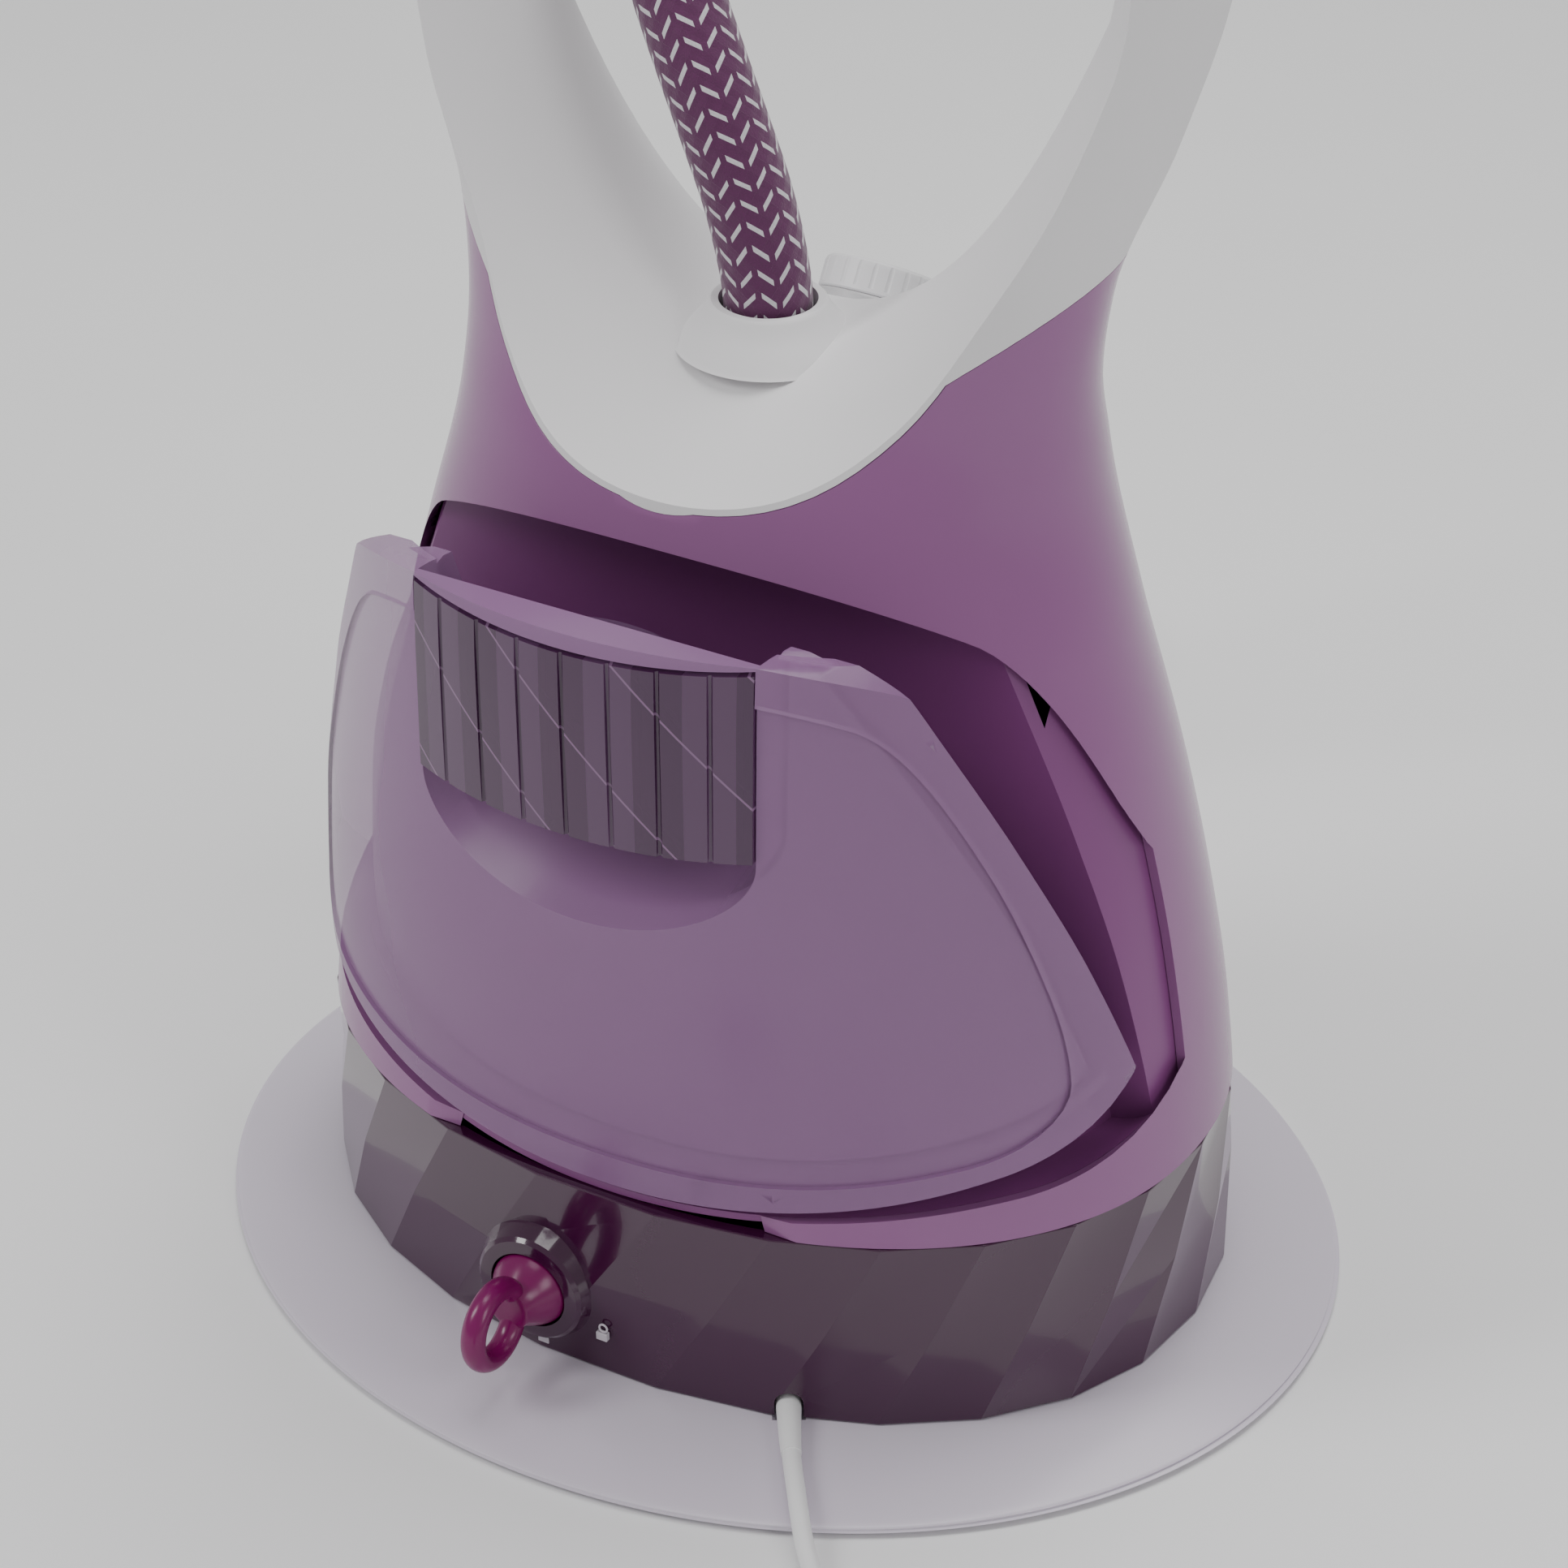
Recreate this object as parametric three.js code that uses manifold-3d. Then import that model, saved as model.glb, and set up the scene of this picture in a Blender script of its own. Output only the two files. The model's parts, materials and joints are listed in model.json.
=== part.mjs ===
// Base unit of an upright garment steamer: lavender foot disc, waisted purple housing, a
// tilting water tank, a silver saddle with two pole arms, a braided steam hose with its
// coupling, a descaling knob, and the mains lead. Millimetres, +Z up, front is -Y.
import * as THREE from "three";
import { mergeVertices } from "three/addons/utils/BufferGeometryUtils.js";
import Module from "manifold-3d";

const wasm = await Module();
wasm.setup();

// ---------------------------------------------------------------- driving sizes
const GAP = 0.3; // between pieces that touch
const WALL = 3; // housing wall
const DISC = { a: 190, b: 165.6, bottom: 2, rim: 4.2, top: 10 };
const SKIRT = { bottom: DISC.top + GAP, top: 78, facets: 26, wall: 4 };
const ARM_TOP = 505; // flat top of each pole arm
const FRONT_LIP = { y: -113, z: 86 }; // the line that the tank tilts about
const TANK_TILT = THREE.MathUtils.degToRad(14); // how far the stored tank leans out
const HOSE_RADIUS = 13.5;
const CORD_RADIUS = 3;
const POLE = { x: 118, y: 24, radius: 8, floor: 457 };
const TANK_FLOOR = 92; // underside of the stored tank at its valve
const KNOB = { x: -22, z: 36, face: -122 };
const DIAL = { y: 60, z: 303, radius: 19.5, height: 15, lean: 34 };
const HOSE_HOLE = { y: -7, rim: 337, radius: 14.9 };
const BOILER = { x: 40, y: 54, radius: 33, bottom: 30, top: 112 };
const PUMP = { x: -62, y: 42, radius: 20, bottom: 20, top: 62 };
const VALVE = { x: -50, y: -60 };

// Half width, half depth, centre in y and roundness of the body at each height.
const BODY = [
  { z: 10, a: 154, b: 118, y: -1, n: 2.15 },
  { z: 69, a: 153, b: 117, y: -1, n: 2.15 },
  { z: 100, a: 150, b: 114.5, y: -1, n: 2.15 },
  { z: 150, a: 142, b: 107.5, y: -1, n: 2.1 },
  { z: 200, a: 130, b: 98, y: 0, n: 2.05 },
  { z: 250, a: 116, b: 87, y: 0, n: 2 },
  { z: 300, a: 104, b: 74, y: 1, n: 2 },
  { z: 325, a: 102, b: 65, y: 0, n: 2 },
  { z: 355, a: 105, b: 60, y: 1, n: 2 },
  { z: 400, a: 119, b: 74, y: 9, n: 2 },
  { z: 440, a: 128, b: 80, y: 17, n: 2 },
  { z: 480, a: 132, b: 80, y: 22, n: 2 },
  { z: 520, a: 134, b: 76, y: 26, n: 2 },
];
// The saddle between the arms: height of its floor and how fast it opens, front to back.
const SADDLE = [
  { y: -100, floor: 288, open: 28 },
  { y: -72, floor: 300, open: 24 },
  { y: -50, floor: 311, open: 19.5 },
  { y: -30, floor: 320, open: 15.8 },
  { y: -7, floor: 326, open: 13.8 },
  { y: 17, floor: 327, open: 12.5 },
  { y: 40, floor: 317, open: 14 },
  { y: 60, floor: 303, open: 17.5 },
  { y: 76, floor: 293, open: 21 },
  { y: 110, floor: 280, open: 26 },
];
const SADDLE_POWER = 0.438;
// Heights at which every drawing of the body has a ring, so that shells nest cleanly.
const LEVELS = [44, 78, 110, 155, 200, 245, 285, 315, 340, 370, 400, 440];
const ARM_STRAIGHT = 440; // above this height the arms' inner faces stand almost straight
// Right half of the tank opening (x, z), from its top centre round to its bottom centre: each
// curve has two handles and the point that it ends at.
const OPENING = {
  start: [0, 286],
  curves: [
    [40, 286, 72, 277, 92, 264],
    [114, 249, 146, 165, 148, 114],
    [149, 100, 140, 93, 120, 92],
    [95, 89, 48, 81, 0, 81],
  ],
  steps: 4, // straight pieces in each curve
  centre: [0, 172], // insets draw the outline in towards here
};
// The free stretch of the mains lead, from the notch to the coil.
const CORD_ROUTE = [
  [62, -105, 13.4], [64, -108.5, 13.4], [66, -112, 13.4], [69, -117, 13], [73, -123.5, 12.2],
  [78, -131, 11.2], [83, -138, 10], [88, -145, 8.5], [94, -153, 6.4], [101, -161, 4.4],
  [109, -170, 3.2], [118, -178, 3.1], [129, -186, 3.1], [147.5, -199.2, 3.1],
];
const INNER_LEAD = [
  [61.5, -104.1, 13.4], [58.8, -99.5, 13.4], [55.5, -93.8, 13.4], [54, -90, 14.2],
  [53.6, -85, 16], [55.5, -78, 18.6], [62, -70, 20.5], [73, -62, 21], [79, -57, 21],
  [80, -53, 21],
];
const CORD_EXIT = { at: [62.8, -106.4, 13.4], along: [0.5, -0.866, 0] };
const COIL = { x: 146, y: -246, radius: 34, pitch: 6, layers: 2, across: 3 };
const CORD_TAIL = [
  [121, -286.3, 10.4], [110, -287, 12.8], [98, -288, 16.2], [88, -288.5, 18.2],
  [81.5, -288.6, 18.8],
];
const PLUG = { x: 81, y: -288.6, z: 18.8, radius: 18.3 };
// The steam hose: up out of the collar, over behind the left arm, down and round on the floor.
const HOSE_ROUTE = [
  [0, -7, 318], [0, -7, 329], [-0.5, -7, 341], [-3, -7, 354], [-8, -6, 369], [-15, -5, 385],
  [-25, -2, 404], [-38, 5, 424], [-55, 19, 445], [-76, 38, 462], [-101, 61, 473],
  [-127, 85, 473], [-151, 109, 461], [-171, 129, 438], [-184, 142, 407], [-190, 148, 370],
  [-192, 150, 325], [-192, 150, 265], [-192, 150, 200], [-192, 150, 132], [-196, 157, 91],
  [-206, 173, 56], [-222, 198, 30], [-242, 228, 16], [-259, 255, 14], [-272, 285, 13.8],
  [-277, 318, 13.8], [-269, 358, 13.8], [-246, 392, 13.8], [-209, 415, 13.8], [-166, 423, 13.8],
  [-123, 413, 13.8], [-87, 388, 13.8], [-63, 351, 13.8], [-53, 308, 13.9], [-56, 266, 15.6],
  [-65, 240, 17.6], [-72, 223, 18.2],
];
const CONNECTOR = { x: -72, y: 223, z: 18.2, along: [-0.38, -0.925, 0] };

// ---------------------------------------------------------------- materials
const paint = (color, roughness, metalness = 0, opacity = 1) =>
  new THREE.MeshStandardMaterial({
    color, roughness, metalness, opacity, transparent: opacity < 1,
  });
const FINISH = {
  purple: paint(0x4a1c46, 0.22),
  bay: paint(0x3a0f36, 0.3),
  tank: paint(0x5c3060, 0.08, 0, 0.6),
  lavender: paint(0xb2a3bb, 0.3),
  silver: paint(0xc9c6c9, 0.38, 0.35),
  dial: paint(0xcdcbce, 0.4),
  clear: paint(0xe8e6ea, 0.1, 0, 0.5),
  knob: paint(0x320019, 0.12),
  dark: paint(0x232026, 0.6),
  rubber: paint(0x1c1c1e, 0.9),
  white: paint(0xe6e6e6, 0.45),
  hose: paint(0x56154c, 0.85),
  steel: paint(0xb9bcc0, 0.3, 0.9),
  aluminium: paint(0x9d9fa3, 0.42, 0.8),
  brass: paint(0xb08d4a, 0.35, 0.85),
  board: paint(0x2f6b3c, 0.6),
  silicone: paint(0xdedad2, 0.55),
};

// ---------------------------------------------------------------- shape helpers
function solid(geometry) {
  const bare = new THREE.BufferGeometry();
  const source = geometry.index ? geometry.toNonIndexed() : geometry;
  bare.setAttribute("position", source.getAttribute("position"));
  const merged = mergeVertices(bare, 1e-4);
  return new wasm.Manifold(
    new wasm.Mesh({
      numProp: 3,
      vertProperties: new Float32Array(merged.attributes.position.array),
      triVerts: new Uint32Array(merged.index.array),
    }),
  );
}

function geometryOf(manifold) {
  const mesh = manifold.getMesh();
  const geometry = new THREE.BufferGeometry();
  geometry.setAttribute("position", new THREE.BufferAttribute(mesh.vertProperties, 3));
  geometry.setIndex(new THREE.BufferAttribute(mesh.triVerts, 1));
  geometry.computeVertexNormals();
  return geometry;
}

// A smooth value between the rows of a table, by monotone cubic steps.
function follow(table, key, field, at) {
  if (at <= table[0][key]) return table[0][field];
  const last = table[table.length - 1];
  if (at >= last[key]) return last[field];
  const i = table.findIndex((row) => row[key] > at) - 1;
  const slope = (j) =>
    (table[j + 1][field] - table[j][field]) / (table[j + 1][key] - table[j][key]);
  const tangent = (j) => {
    if (j === 0 || j === table.length - 1) return slope(Math.min(j, table.length - 2));
    const before = slope(j - 1);
    const after = slope(j);
    return before * after <= 0 ? 0 : (2 * before * after) / (before + after);
  };
  const span = table[i + 1][key] - table[i][key];
  const t = (at - table[i][key]) / span;
  const rise = table[i + 1][field] - table[i][field];
  const ease = t * t * (3 - 2 * t);
  return (
    table[i][field] + ease * rise +
    span * (t * (1 - t) * (1 - t) * tangent(i) - t * t * (1 - t) * tangent(i + 1))
  );
}

// A closed solid through rings of equal point counts, capped with fans at both ends.
function loft(rings) {
  const count = rings[0].length;
  const positions = rings.flat().flatMap((p) => [p.x, p.y, p.z]);
  const index = [];
  for (let r = 0; r < rings.length - 1; r += 1)
    for (let k = 0; k < count; k += 1) {
      const a = r * count + k;
      const b = r * count + ((k + 1) % count);
      index.push(a, b, b + count, a, b + count, a + count);
    }
  const cap = (row, flip) => {
    const centre = row.reduce((sum, p) => sum.add(p), new THREE.Vector3()).divideScalar(count);
    const tip = positions.length / 3;
    positions.push(centre.x, centre.y, centre.z);
    const start = rings.indexOf(row) * count;
    for (let k = 0; k < count; k += 1) {
      const pair = [start + k, start + ((k + 1) % count)];
      index.push(tip, ...(flip ? pair.reverse() : pair));
    }
  };
  cap(rings[0], true);
  cap(rings[rings.length - 1], false);
  const geometry = new THREE.BufferGeometry();
  geometry.setAttribute("position", new THREE.Float32BufferAttribute(positions, 3));
  geometry.setIndex(index);
  const made = solid(geometry);
  if (made.volume() > 0) return made;
  geometry.setIndex(index.slice().reverse());
  return solid(geometry);
}

const ovalRing = (a, b, y, z, n = 2, count = 52, x = 0) =>
  Array.from({ length: count }, (_, k) => {
    const turn = (2 * Math.PI * k) / count;
    const c = Math.cos(turn);
    const s = Math.sin(turn);
    return new THREE.Vector3(
      x + a * Math.sign(c) * Math.abs(c) ** (2 / n),
      y + b * Math.sign(s) * Math.abs(s) ** (2 / n),
      z,
    );
  });

const bodyAt = (z) => ({
  a: follow(BODY, "z", "a", z),
  b: follow(BODY, "z", "b", z),
  y: follow(BODY, "z", "y", z),
  n: follow(BODY, "z", "n", z),
});

// The outer body, drawn in by an inset, between two heights.
function bodySolid(inset, bottom, top, count = 32) {
  const between = LEVELS.filter((z) => z > bottom + 4 && z < top - 4);
  return loft(
    [bottom, ...between, top].map((z) => {
      const s = bodyAt(z);
      return ovalRing(s.a - inset, s.b - inset, s.y, z, s.n, count);
    }),
  );
}

function saddleHalfWidth(z, y, wider) {
  const floor = follow(SADDLE, "y", "floor", y) - wider;
  const open = follow(SADDLE, "y", "open", y);
  const bend = Math.min(z, ARM_STRAIGHT);
  const width = open * Math.max(bend - floor, 0) ** SADDLE_POWER + wider;
  return width + 0.08 * Math.max(z - ARM_STRAIGHT, 0);
}

// The space over the saddle and between the arms; "wider" grows it into the material.
function saddleSpace(wider) {
  const rises = [0.6, 4, 13, 32, 66];
  const slices = [-100, -72, -50, -30, -10, 8, 24, 42, 62, 84, 125];
  return loft(
    slices.map((y) => {
      const floor = follow(SADDLE, "y", "floor", y) - wider;
      const heights = [...rises.map((d) => floor + d), ARM_STRAIGHT + 10, 640];
      const right = heights.map(
        (z) => new THREE.Vector3(saddleHalfWidth(z, y, wider), y, z),
      );
      const left = right.map((p) => new THREE.Vector3(-p.x, p.y, p.z)).reverse();
      return [new THREE.Vector3(0, y, floor), ...right, ...left];
    }),
  );
}

// A block between two corners, turned about +Z and then moved to "at".
const box = (x0, x1, y0, y1, z0, z1, turn = 0, at = [0, 0, 0]) =>
  solid(
    new THREE.BoxGeometry(x1 - x0, y1 - y0, z1 - z0)
      .translate((x0 + x1) / 2, (y0 + y1) / 2, (z0 + z1) / 2)
      .rotateZ(turn)
      .translate(...at),
  );

// A turned solid about +Z from [radius, height] points, closed on the axis.
function turned(profile, segments = 20) {
  const points = profile.map(([r, z]) => new THREE.Vector2(r, z));
  return new THREE.LatheGeometry(points, segments).rotateX(Math.PI / 2);
}
const upright = (profile, x, y, z, segments) =>
  solid(turned(profile, segments).translate(x, y, z));
const rod = (radius, bottom, top) => [[0, bottom], [radius, bottom], [radius, top], [0, top]];
const sleeve = (inner, outer, bottom, top) =>
  [[inner, bottom], [outer, bottom], [outer, top], [inner, top], [inner, bottom]];

// A turned solid whose axis points along "axis" from "at".
function aimed(profile, axis, at, segments) {
  const turn = new THREE.Quaternion().setFromUnitVectors(
    new THREE.Vector3(0, 0, 1), new THREE.Vector3(...axis).normalize(),
  );
  const geometry = turned(profile, segments).applyQuaternion(turn);
  return solid(geometry.translate(...at));
}

const ringAround = (radius, thickness, axis, at, segments = 18) => {
  const turn = new THREE.Quaternion().setFromUnitVectors(
    new THREE.Vector3(0, 0, 1), new THREE.Vector3(...axis).normalize(),
  );
  const geometry = new THREE.TorusGeometry(radius, thickness, 8, segments);
  return solid(geometry.applyQuaternion(turn).translate(...at));
};

// A round tube along points, with flat ends.
function tube(points, radius, sides, steps) {
  const path = new THREE.CatmullRomCurve3(points.map((p) => new THREE.Vector3(...p)));
  const section = new THREE.Shape(
    Array.from({ length: sides }, (_, k) => {
      const turn = (2 * Math.PI * k) / sides;
      return new THREE.Vector2(radius * Math.cos(turn), radius * Math.sin(turn));
    }),
  );
  const made = solid(
    new THREE.ExtrudeGeometry(section, { steps, extrudePath: path, bevelEnabled: false }),
  );
  return made;
}

// The opening's outline moved inwards by "inset", drawn through the body from front to back.
function openingPrism(inset, front, back) {
  const centre = new THREE.Vector2(...OPENING.centre);
  const outline = new THREE.Path().moveTo(...OPENING.start);
  OPENING.curves.forEach((curve) => outline.bezierCurveTo(...curve));
  const half = outline.getPoints(OPENING.steps).map((point) => {
    const arm = point.clone().sub(centre);
    return arm.setLength(arm.length() - inset).add(centre);
  });
  half[0].x = 0;
  half[half.length - 1].x = 0;
  const mirrored = half.slice(1, -1).reverse().map((p) => new THREE.Vector2(-p.x, p.y));
  const shape = new THREE.Shape([...half, ...mirrored]);
  const geometry = new THREE.ExtrudeGeometry(shape, { depth: back - front, bevelEnabled: false });
  return solid(geometry.rotateX(Math.PI / 2).translate(0, back, 0));
}

// A prism along X over a polygon of [y, z] points, with its middle at "x".
function sidePrism(points, halfWidth, x = 0) {
  const shape = new THREE.Shape(points.map(([y, z]) => new THREE.Vector2(y, z)));
  const geometry = new THREE.ExtrudeGeometry(shape, { depth: 2 * halfWidth, bevelEnabled: false });
  const turn = new THREE.Matrix4().makeBasis(
    new THREE.Vector3(0, 1, 0), new THREE.Vector3(0, 0, 1), new THREE.Vector3(1, 0, 0),
  );
  return solid(geometry.applyMatrix4(turn).translate(x - halfWidth, 0, 0));
}

const part = new THREE.Group();
part.name = "garment_steamer_base";

function add(name, shape, material, parent = part) {
  const mesh = new THREE.Mesh(geometryOf(shape), material);
  mesh.name = name;
  parent.add(mesh);
  return mesh;
}

// Everything that tilts with the tank is built upright and leant out in this group.
const tankGroup = new THREE.Group();
tankGroup.position.set(0, FRONT_LIP.y, FRONT_LIP.z);
tankGroup.rotation.x = TANK_TILT;
part.add(tankGroup);
const seated = new THREE.Group();
seated.position.set(0, -FRONT_LIP.y, -FRONT_LIP.z);
tankGroup.add(seated);

// ---------------------------------------------------------------- foot and tray
function makeFoot() {
  const hole = { a: 118, b: 84 };
  const profile = [
    { a: hole.a, b: hole.b, z: DISC.bottom },
    { a: DISC.a - 1, b: DISC.b - 1, z: DISC.bottom },
    { a: DISC.a, b: DISC.b, z: (DISC.bottom + DISC.rim) / 2 },
    { a: DISC.a - 0.6, b: DISC.b - 0.6, z: DISC.rim },
    { a: 176, b: 148, z: 7.4 },
    { a: 162, b: 130, z: 9.4 },
    { a: 150, b: 115, z: DISC.top },
    { a: hole.a, b: hole.b, z: DISC.top },
  ];
  const rings = profile.map((p) => ovalRing(p.a, p.b, 0, p.z, 2, 48));
  const positions = rings.flat().flatMap((p) => [p.x, p.y, p.z]);
  const index = [];
  const count = rings[0].length;
  for (let r = 0; r < rings.length; r += 1)
    for (let k = 0; k < count; k += 1) {
      const next = ((r + 1) % rings.length) * count;
      const here = r * count;
      const far = (k + 1) % count;
      index.push(here + k, here + far, next + far, here + k, next + far, next + k);
    }
  const geometry = new THREE.BufferGeometry();
  geometry.setAttribute("position", new THREE.Float32BufferAttribute(positions, 3));
  geometry.setIndex(index);
  const groove = aimed(rod(6.4, -18, 5.2), CORD_EXIT.along, CORD_EXIT.at, 14);
  add("foot_disc", solid(geometry).subtract(groove), FINISH.lavender);
  const tray = loft([
    ovalRing(hole.a - 1, hole.b - 1, 0, DISC.bottom + 0.4, 2, 22),
    ovalRing(hole.a - 1, hole.b - 1, 0, DISC.top + GAP, 2, 22),
  ]).add(
    loft([
      ovalRing(128, 88, -1, DISC.top + GAP, 2, 22),
      ovalRing(128, 88, -1, DISC.top + GAP + 2.5, 2, 22),
    ]),
  );
  const screws = [[-92, 0], [92, 0], [0, 62], [0, -62]];
  const bores = screws.map(([x, y]) => upright(rod(5, 0, 6), x, y, 0, 12));
  add("base_tray", bores.reduce((body, bore) => body.subtract(bore), tray), FINISH.dark);
  screws.forEach(([x, y], k) => {
    const screw = upright([[0, 2.6], [4.5, 2.6], [4.5, 5.7], [0, 5.7]], x, y, 0, 12);
    add(`base_screw_${k + 1}`, screw, FINISH.steel);
  });
  const feet = [[-150, -48], [150, -48], [-150, 48], [150, 48], [0, -136], [0, 136]];
  feet.forEach(([x, y], k) => {
    const pad = upright(rod(11, 0, DISC.bottom - GAP), x, y, 0, 16);
    add(`rubber_foot_${k + 1}`, pad, FINISH.rubber);
  });
}

// ---------------------------------------------------------------- shells
function facetedSkirt() {
  const row = (z, shift, grow) => {
    const s = bodyAt(z);
    const ring = [];
    for (let k = 0; k < SKIRT.facets; k += 1) {
      const turn = (2 * Math.PI * (k + shift)) / SKIRT.facets;
      const c = Math.cos(turn);
      const d = Math.sin(turn);
      ring.push(
        new THREE.Vector3(
          (s.a + grow) * Math.sign(c) * Math.abs(c) ** (2 / s.n),
          s.y + (s.b + grow) * Math.sign(d) * Math.abs(d) ** (2 / s.n),
          z,
        ),
      );
    }
    return ring;
  };
  const middle = (SKIRT.bottom + SKIRT.top) / 2;
  return loft([row(SKIRT.bottom, 0, 0.4), row(middle, 0.5, 0.4), row(SKIRT.top, 1, 0.4)]);
}

function makeSkirt() {
  const face = [0, -1, 0];
  const boss = aimed([[0, -12], [24, -12], [19, 4], [15.5, 5.5], [0, 5.5]], face,
    [KNOB.x, KNOB.face + 4, KNOB.z], 22);
  const bore = aimed(rod(13.6, -30, 12), face, [KNOB.x, KNOB.face + 4, KNOB.z], 22);
  const [alongX, alongY] = CORD_EXIT.along;
  const [exitX, exitY] = CORD_EXIT.at;
  const notchAt = [exitX + 5 * alongX, exitY + 5 * alongY];
  const notchTurn = Math.atan2(alongX, -alongY);
  const notch = box(-4.6, 4.6, -12, 12, 0, 15, notchTurn, [...notchAt, 0])
    .add(aimed(rod(4.6, -12, 12), CORD_EXIT.along, [...notchAt, 15], 14));
  const skirt = facetedSkirt()
    .subtract(bodySolid(SKIRT.wall, SKIRT.bottom - 5, SKIRT.top + 5))
    .add(boss.subtract(bodySolid(SKIRT.wall + 2, SKIRT.bottom - 5, SKIRT.top + 5)))
    .subtract(bore)
    .subtract(notch);
  add("facet_skirt", skirt, FINISH.purple);
}

// The seam between silver and purple rises from the front crease to the arms' sides.
const seamPrism = (lift, up) => {
  const line = Array.from({ length: 13 }, (_, k) => {
    const y = -108 + 20 * k;
    return [y, 368 + lift - 0.0097 * (y - 12) ** 2];
  });
  const edge = up ? 700 : -100;
  const closed = [...line, [132, edge], [-108, edge]];
  return sidePrism(up ? closed.reverse() : closed, 260);
};

function makeHousing() {
  const outer = bodySolid(0, SKIRT.top + GAP, 400);
  const inner = bodySolid(WALL, SKIRT.top - 5, 420);
  const opening = openingPrism(0, -220, -20 + 12);
  const shell = outer
    .subtract(inner)
    .intersect(seamPrism(0, false))
    .subtract(saddleSpace(1.8))
    .subtract(opening);
  add("housing", shell, FINISH.purple);
}

const bayBack = [[-230, 40], [-21, 40], [-21, 84], [-45, 300], [-230, 300]];
const bayBackOuter = [[-230, 30], [-18, 30], [-18, 84], [-42, 310], [-230, 310]];

function makeBay() {
  const rim = bodySolid(18, 60, 330);
  const outer = openingPrism(2, -220, 0)
    .add(openingPrism(-2.5, -220, 0).subtract(bodySolid(20, 55, 335)))
    .intersect(sidePrism(bayBackOuter, 220));
  const inner = openingPrism(5, -230, 10)
    .add(openingPrism(0, -230, 10).subtract(rim))
    .intersect(sidePrism(bayBack, 230));
  const seatHole = upright(rod(13.5, 60, 110), VALVE.x, VALVE.y, 0, 20);
  const ledge = box(-31, 31, -112, -86, 85.2, 100);
  let liner = outer.subtract(inner).intersect(bodySolid(WALL + GAP, 60, 330));
  [-62, 62].forEach((x) => {
    liner = liner.subtract(box(x - 7, x + 7, -57, -46, 262, 296));
  });
  add("bay_liner", liner.subtract(seatHole).subtract(ledge), FINISH.bay);
  [-62, 62].forEach((x) => {
    const wedge = sidePrism(
      [[-56, 275], [-49, 270.8], [-47, 275], [-47, 280], [-56, 280]], 6, x,
    );
    add(`tank_catch_${x < 0 ? "l" : "r"}`, wedge, FINISH.bay);
  });
  const seat = upright(
    [[0, 70], [13, 70], [13, 86.4], [9, 86.4], [7, 83], [0, 83]], VALVE.x, VALVE.y, 0, 20,
  ).add(upright(rod(3.4, 62, 72), VALVE.x, VALVE.y, 0, 14));
  add("valve_seat", seat, FINISH.white);
  const pin = upright(rod(2, 83 + GAP, 96.4), VALVE.x, VALVE.y, 0, 12);
  add("valve_pin", pin, FINISH.brass);
}

function makeYoke() {
  const space = saddleSpace(0);
  const arms = bodySolid(0, 320, ARM_TOP).intersect(seamPrism(GAP, true));
  const lip = bodySolid(0, 285, 400).intersect(saddleSpace(1.5));
  const skin = bodySolid(WALL + GAP, 280, 420).intersect(saddleSpace(4.5));
  const hollow = bodySolid(4.5, 300, ARM_TOP - 60).subtract(saddleSpace(4.5));
  const flare = [
    [0, -26], [30, -26], [27, -13], [22, -7], [18.8, -2.5], [17.6, -0.4], [16.8, 0], [0, 0],
  ];
  const collar = upright(flare, 0, HOSE_HOLE.y, HOSE_HOLE.rim, 22);
  const hose = upright(rod(HOSE_HOLE.radius, 250, 360), 0, HOSE_HOLE.y, 0, 26);
  const under = bodySolid(WALL + GAP, 280, 420).intersect(saddleSpace(9));
  const dialAxis = leaned(DIAL.lean);
  const dialWell = aimed(rod(DIAL.radius + 1.2, 0, 60), dialAxis, [0, DIAL.y, DIAL.z], 26);
  const dialFloor = aimed(rod(DIAL.radius + 4, -4, 0), dialAxis, [0, DIAL.y, DIAL.z], 26);
  const shaftHole = aimed(rod(4.2, -30, 8), dialAxis, [0, DIAL.y, DIAL.z], 16);
  let yoke = arms.add(lip).add(skin).subtract(space).subtract(hollow);
  yoke = yoke.add(collar.intersect(under.add(upright(rod(31, 300, 340), 0, HOSE_HOLE.y, 0, 26))));
  yoke = yoke.add(dialFloor.intersect(bodySolid(WALL + GAP, 280, 420)));
  yoke = yoke.subtract(hose).subtract(dialWell).subtract(shaftHole);
  [-1, 1].forEach((side) => {
    const socket = upright(rod(POLE.radius + 1.8, POLE.floor - GAP, ARM_TOP + 5),
      side * POLE.x, POLE.y, 0, 20);
    const lockSeat = aimed(rod(8, 129, 160), [side, 0, 0], [0, POLE.y, 482], 18);
    const lockHole = aimed(rod(3.3, 118, 160), [side, 0, 0], [0, POLE.y, 482], 12);
    yoke = yoke.subtract(socket).subtract(lockSeat).subtract(lockHole);
  });
  add("yoke", yoke, FINISH.silver);
}

function leaned(degrees) {
  const lean = THREE.MathUtils.degToRad(degrees);
  return [0, Math.sin(lean), Math.cos(lean)];
}

function makeArmFittings() {
  [-1, 1].forEach((side) => {
    const tag = side < 0 ? "l" : "r";
    const hole = aimed(rod(3.3, 118, 160), [side, 0, 0], [0, POLE.y, 482], 12);
    const lining = upright(
      sleeve(POLE.radius, POLE.radius + 1.5, POLE.floor, ARM_TOP), side * POLE.x, POLE.y, 0, 20,
    ).subtract(hole);
    add(`pole_socket_${tag}`, lining, FINISH.dark);
    const button = aimed(
      [[0, 126.6], [2.8, 126.6], [2.8, 131], [7.4, 131], [7.4, 134.4], [6.4, 135.4], [0, 135.4]],
      [side, 0, 0], [0, POLE.y, 482], 18,
    );
    add(`pole_lock_${tag}`, button, FINISH.dial);
  });
}

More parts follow.
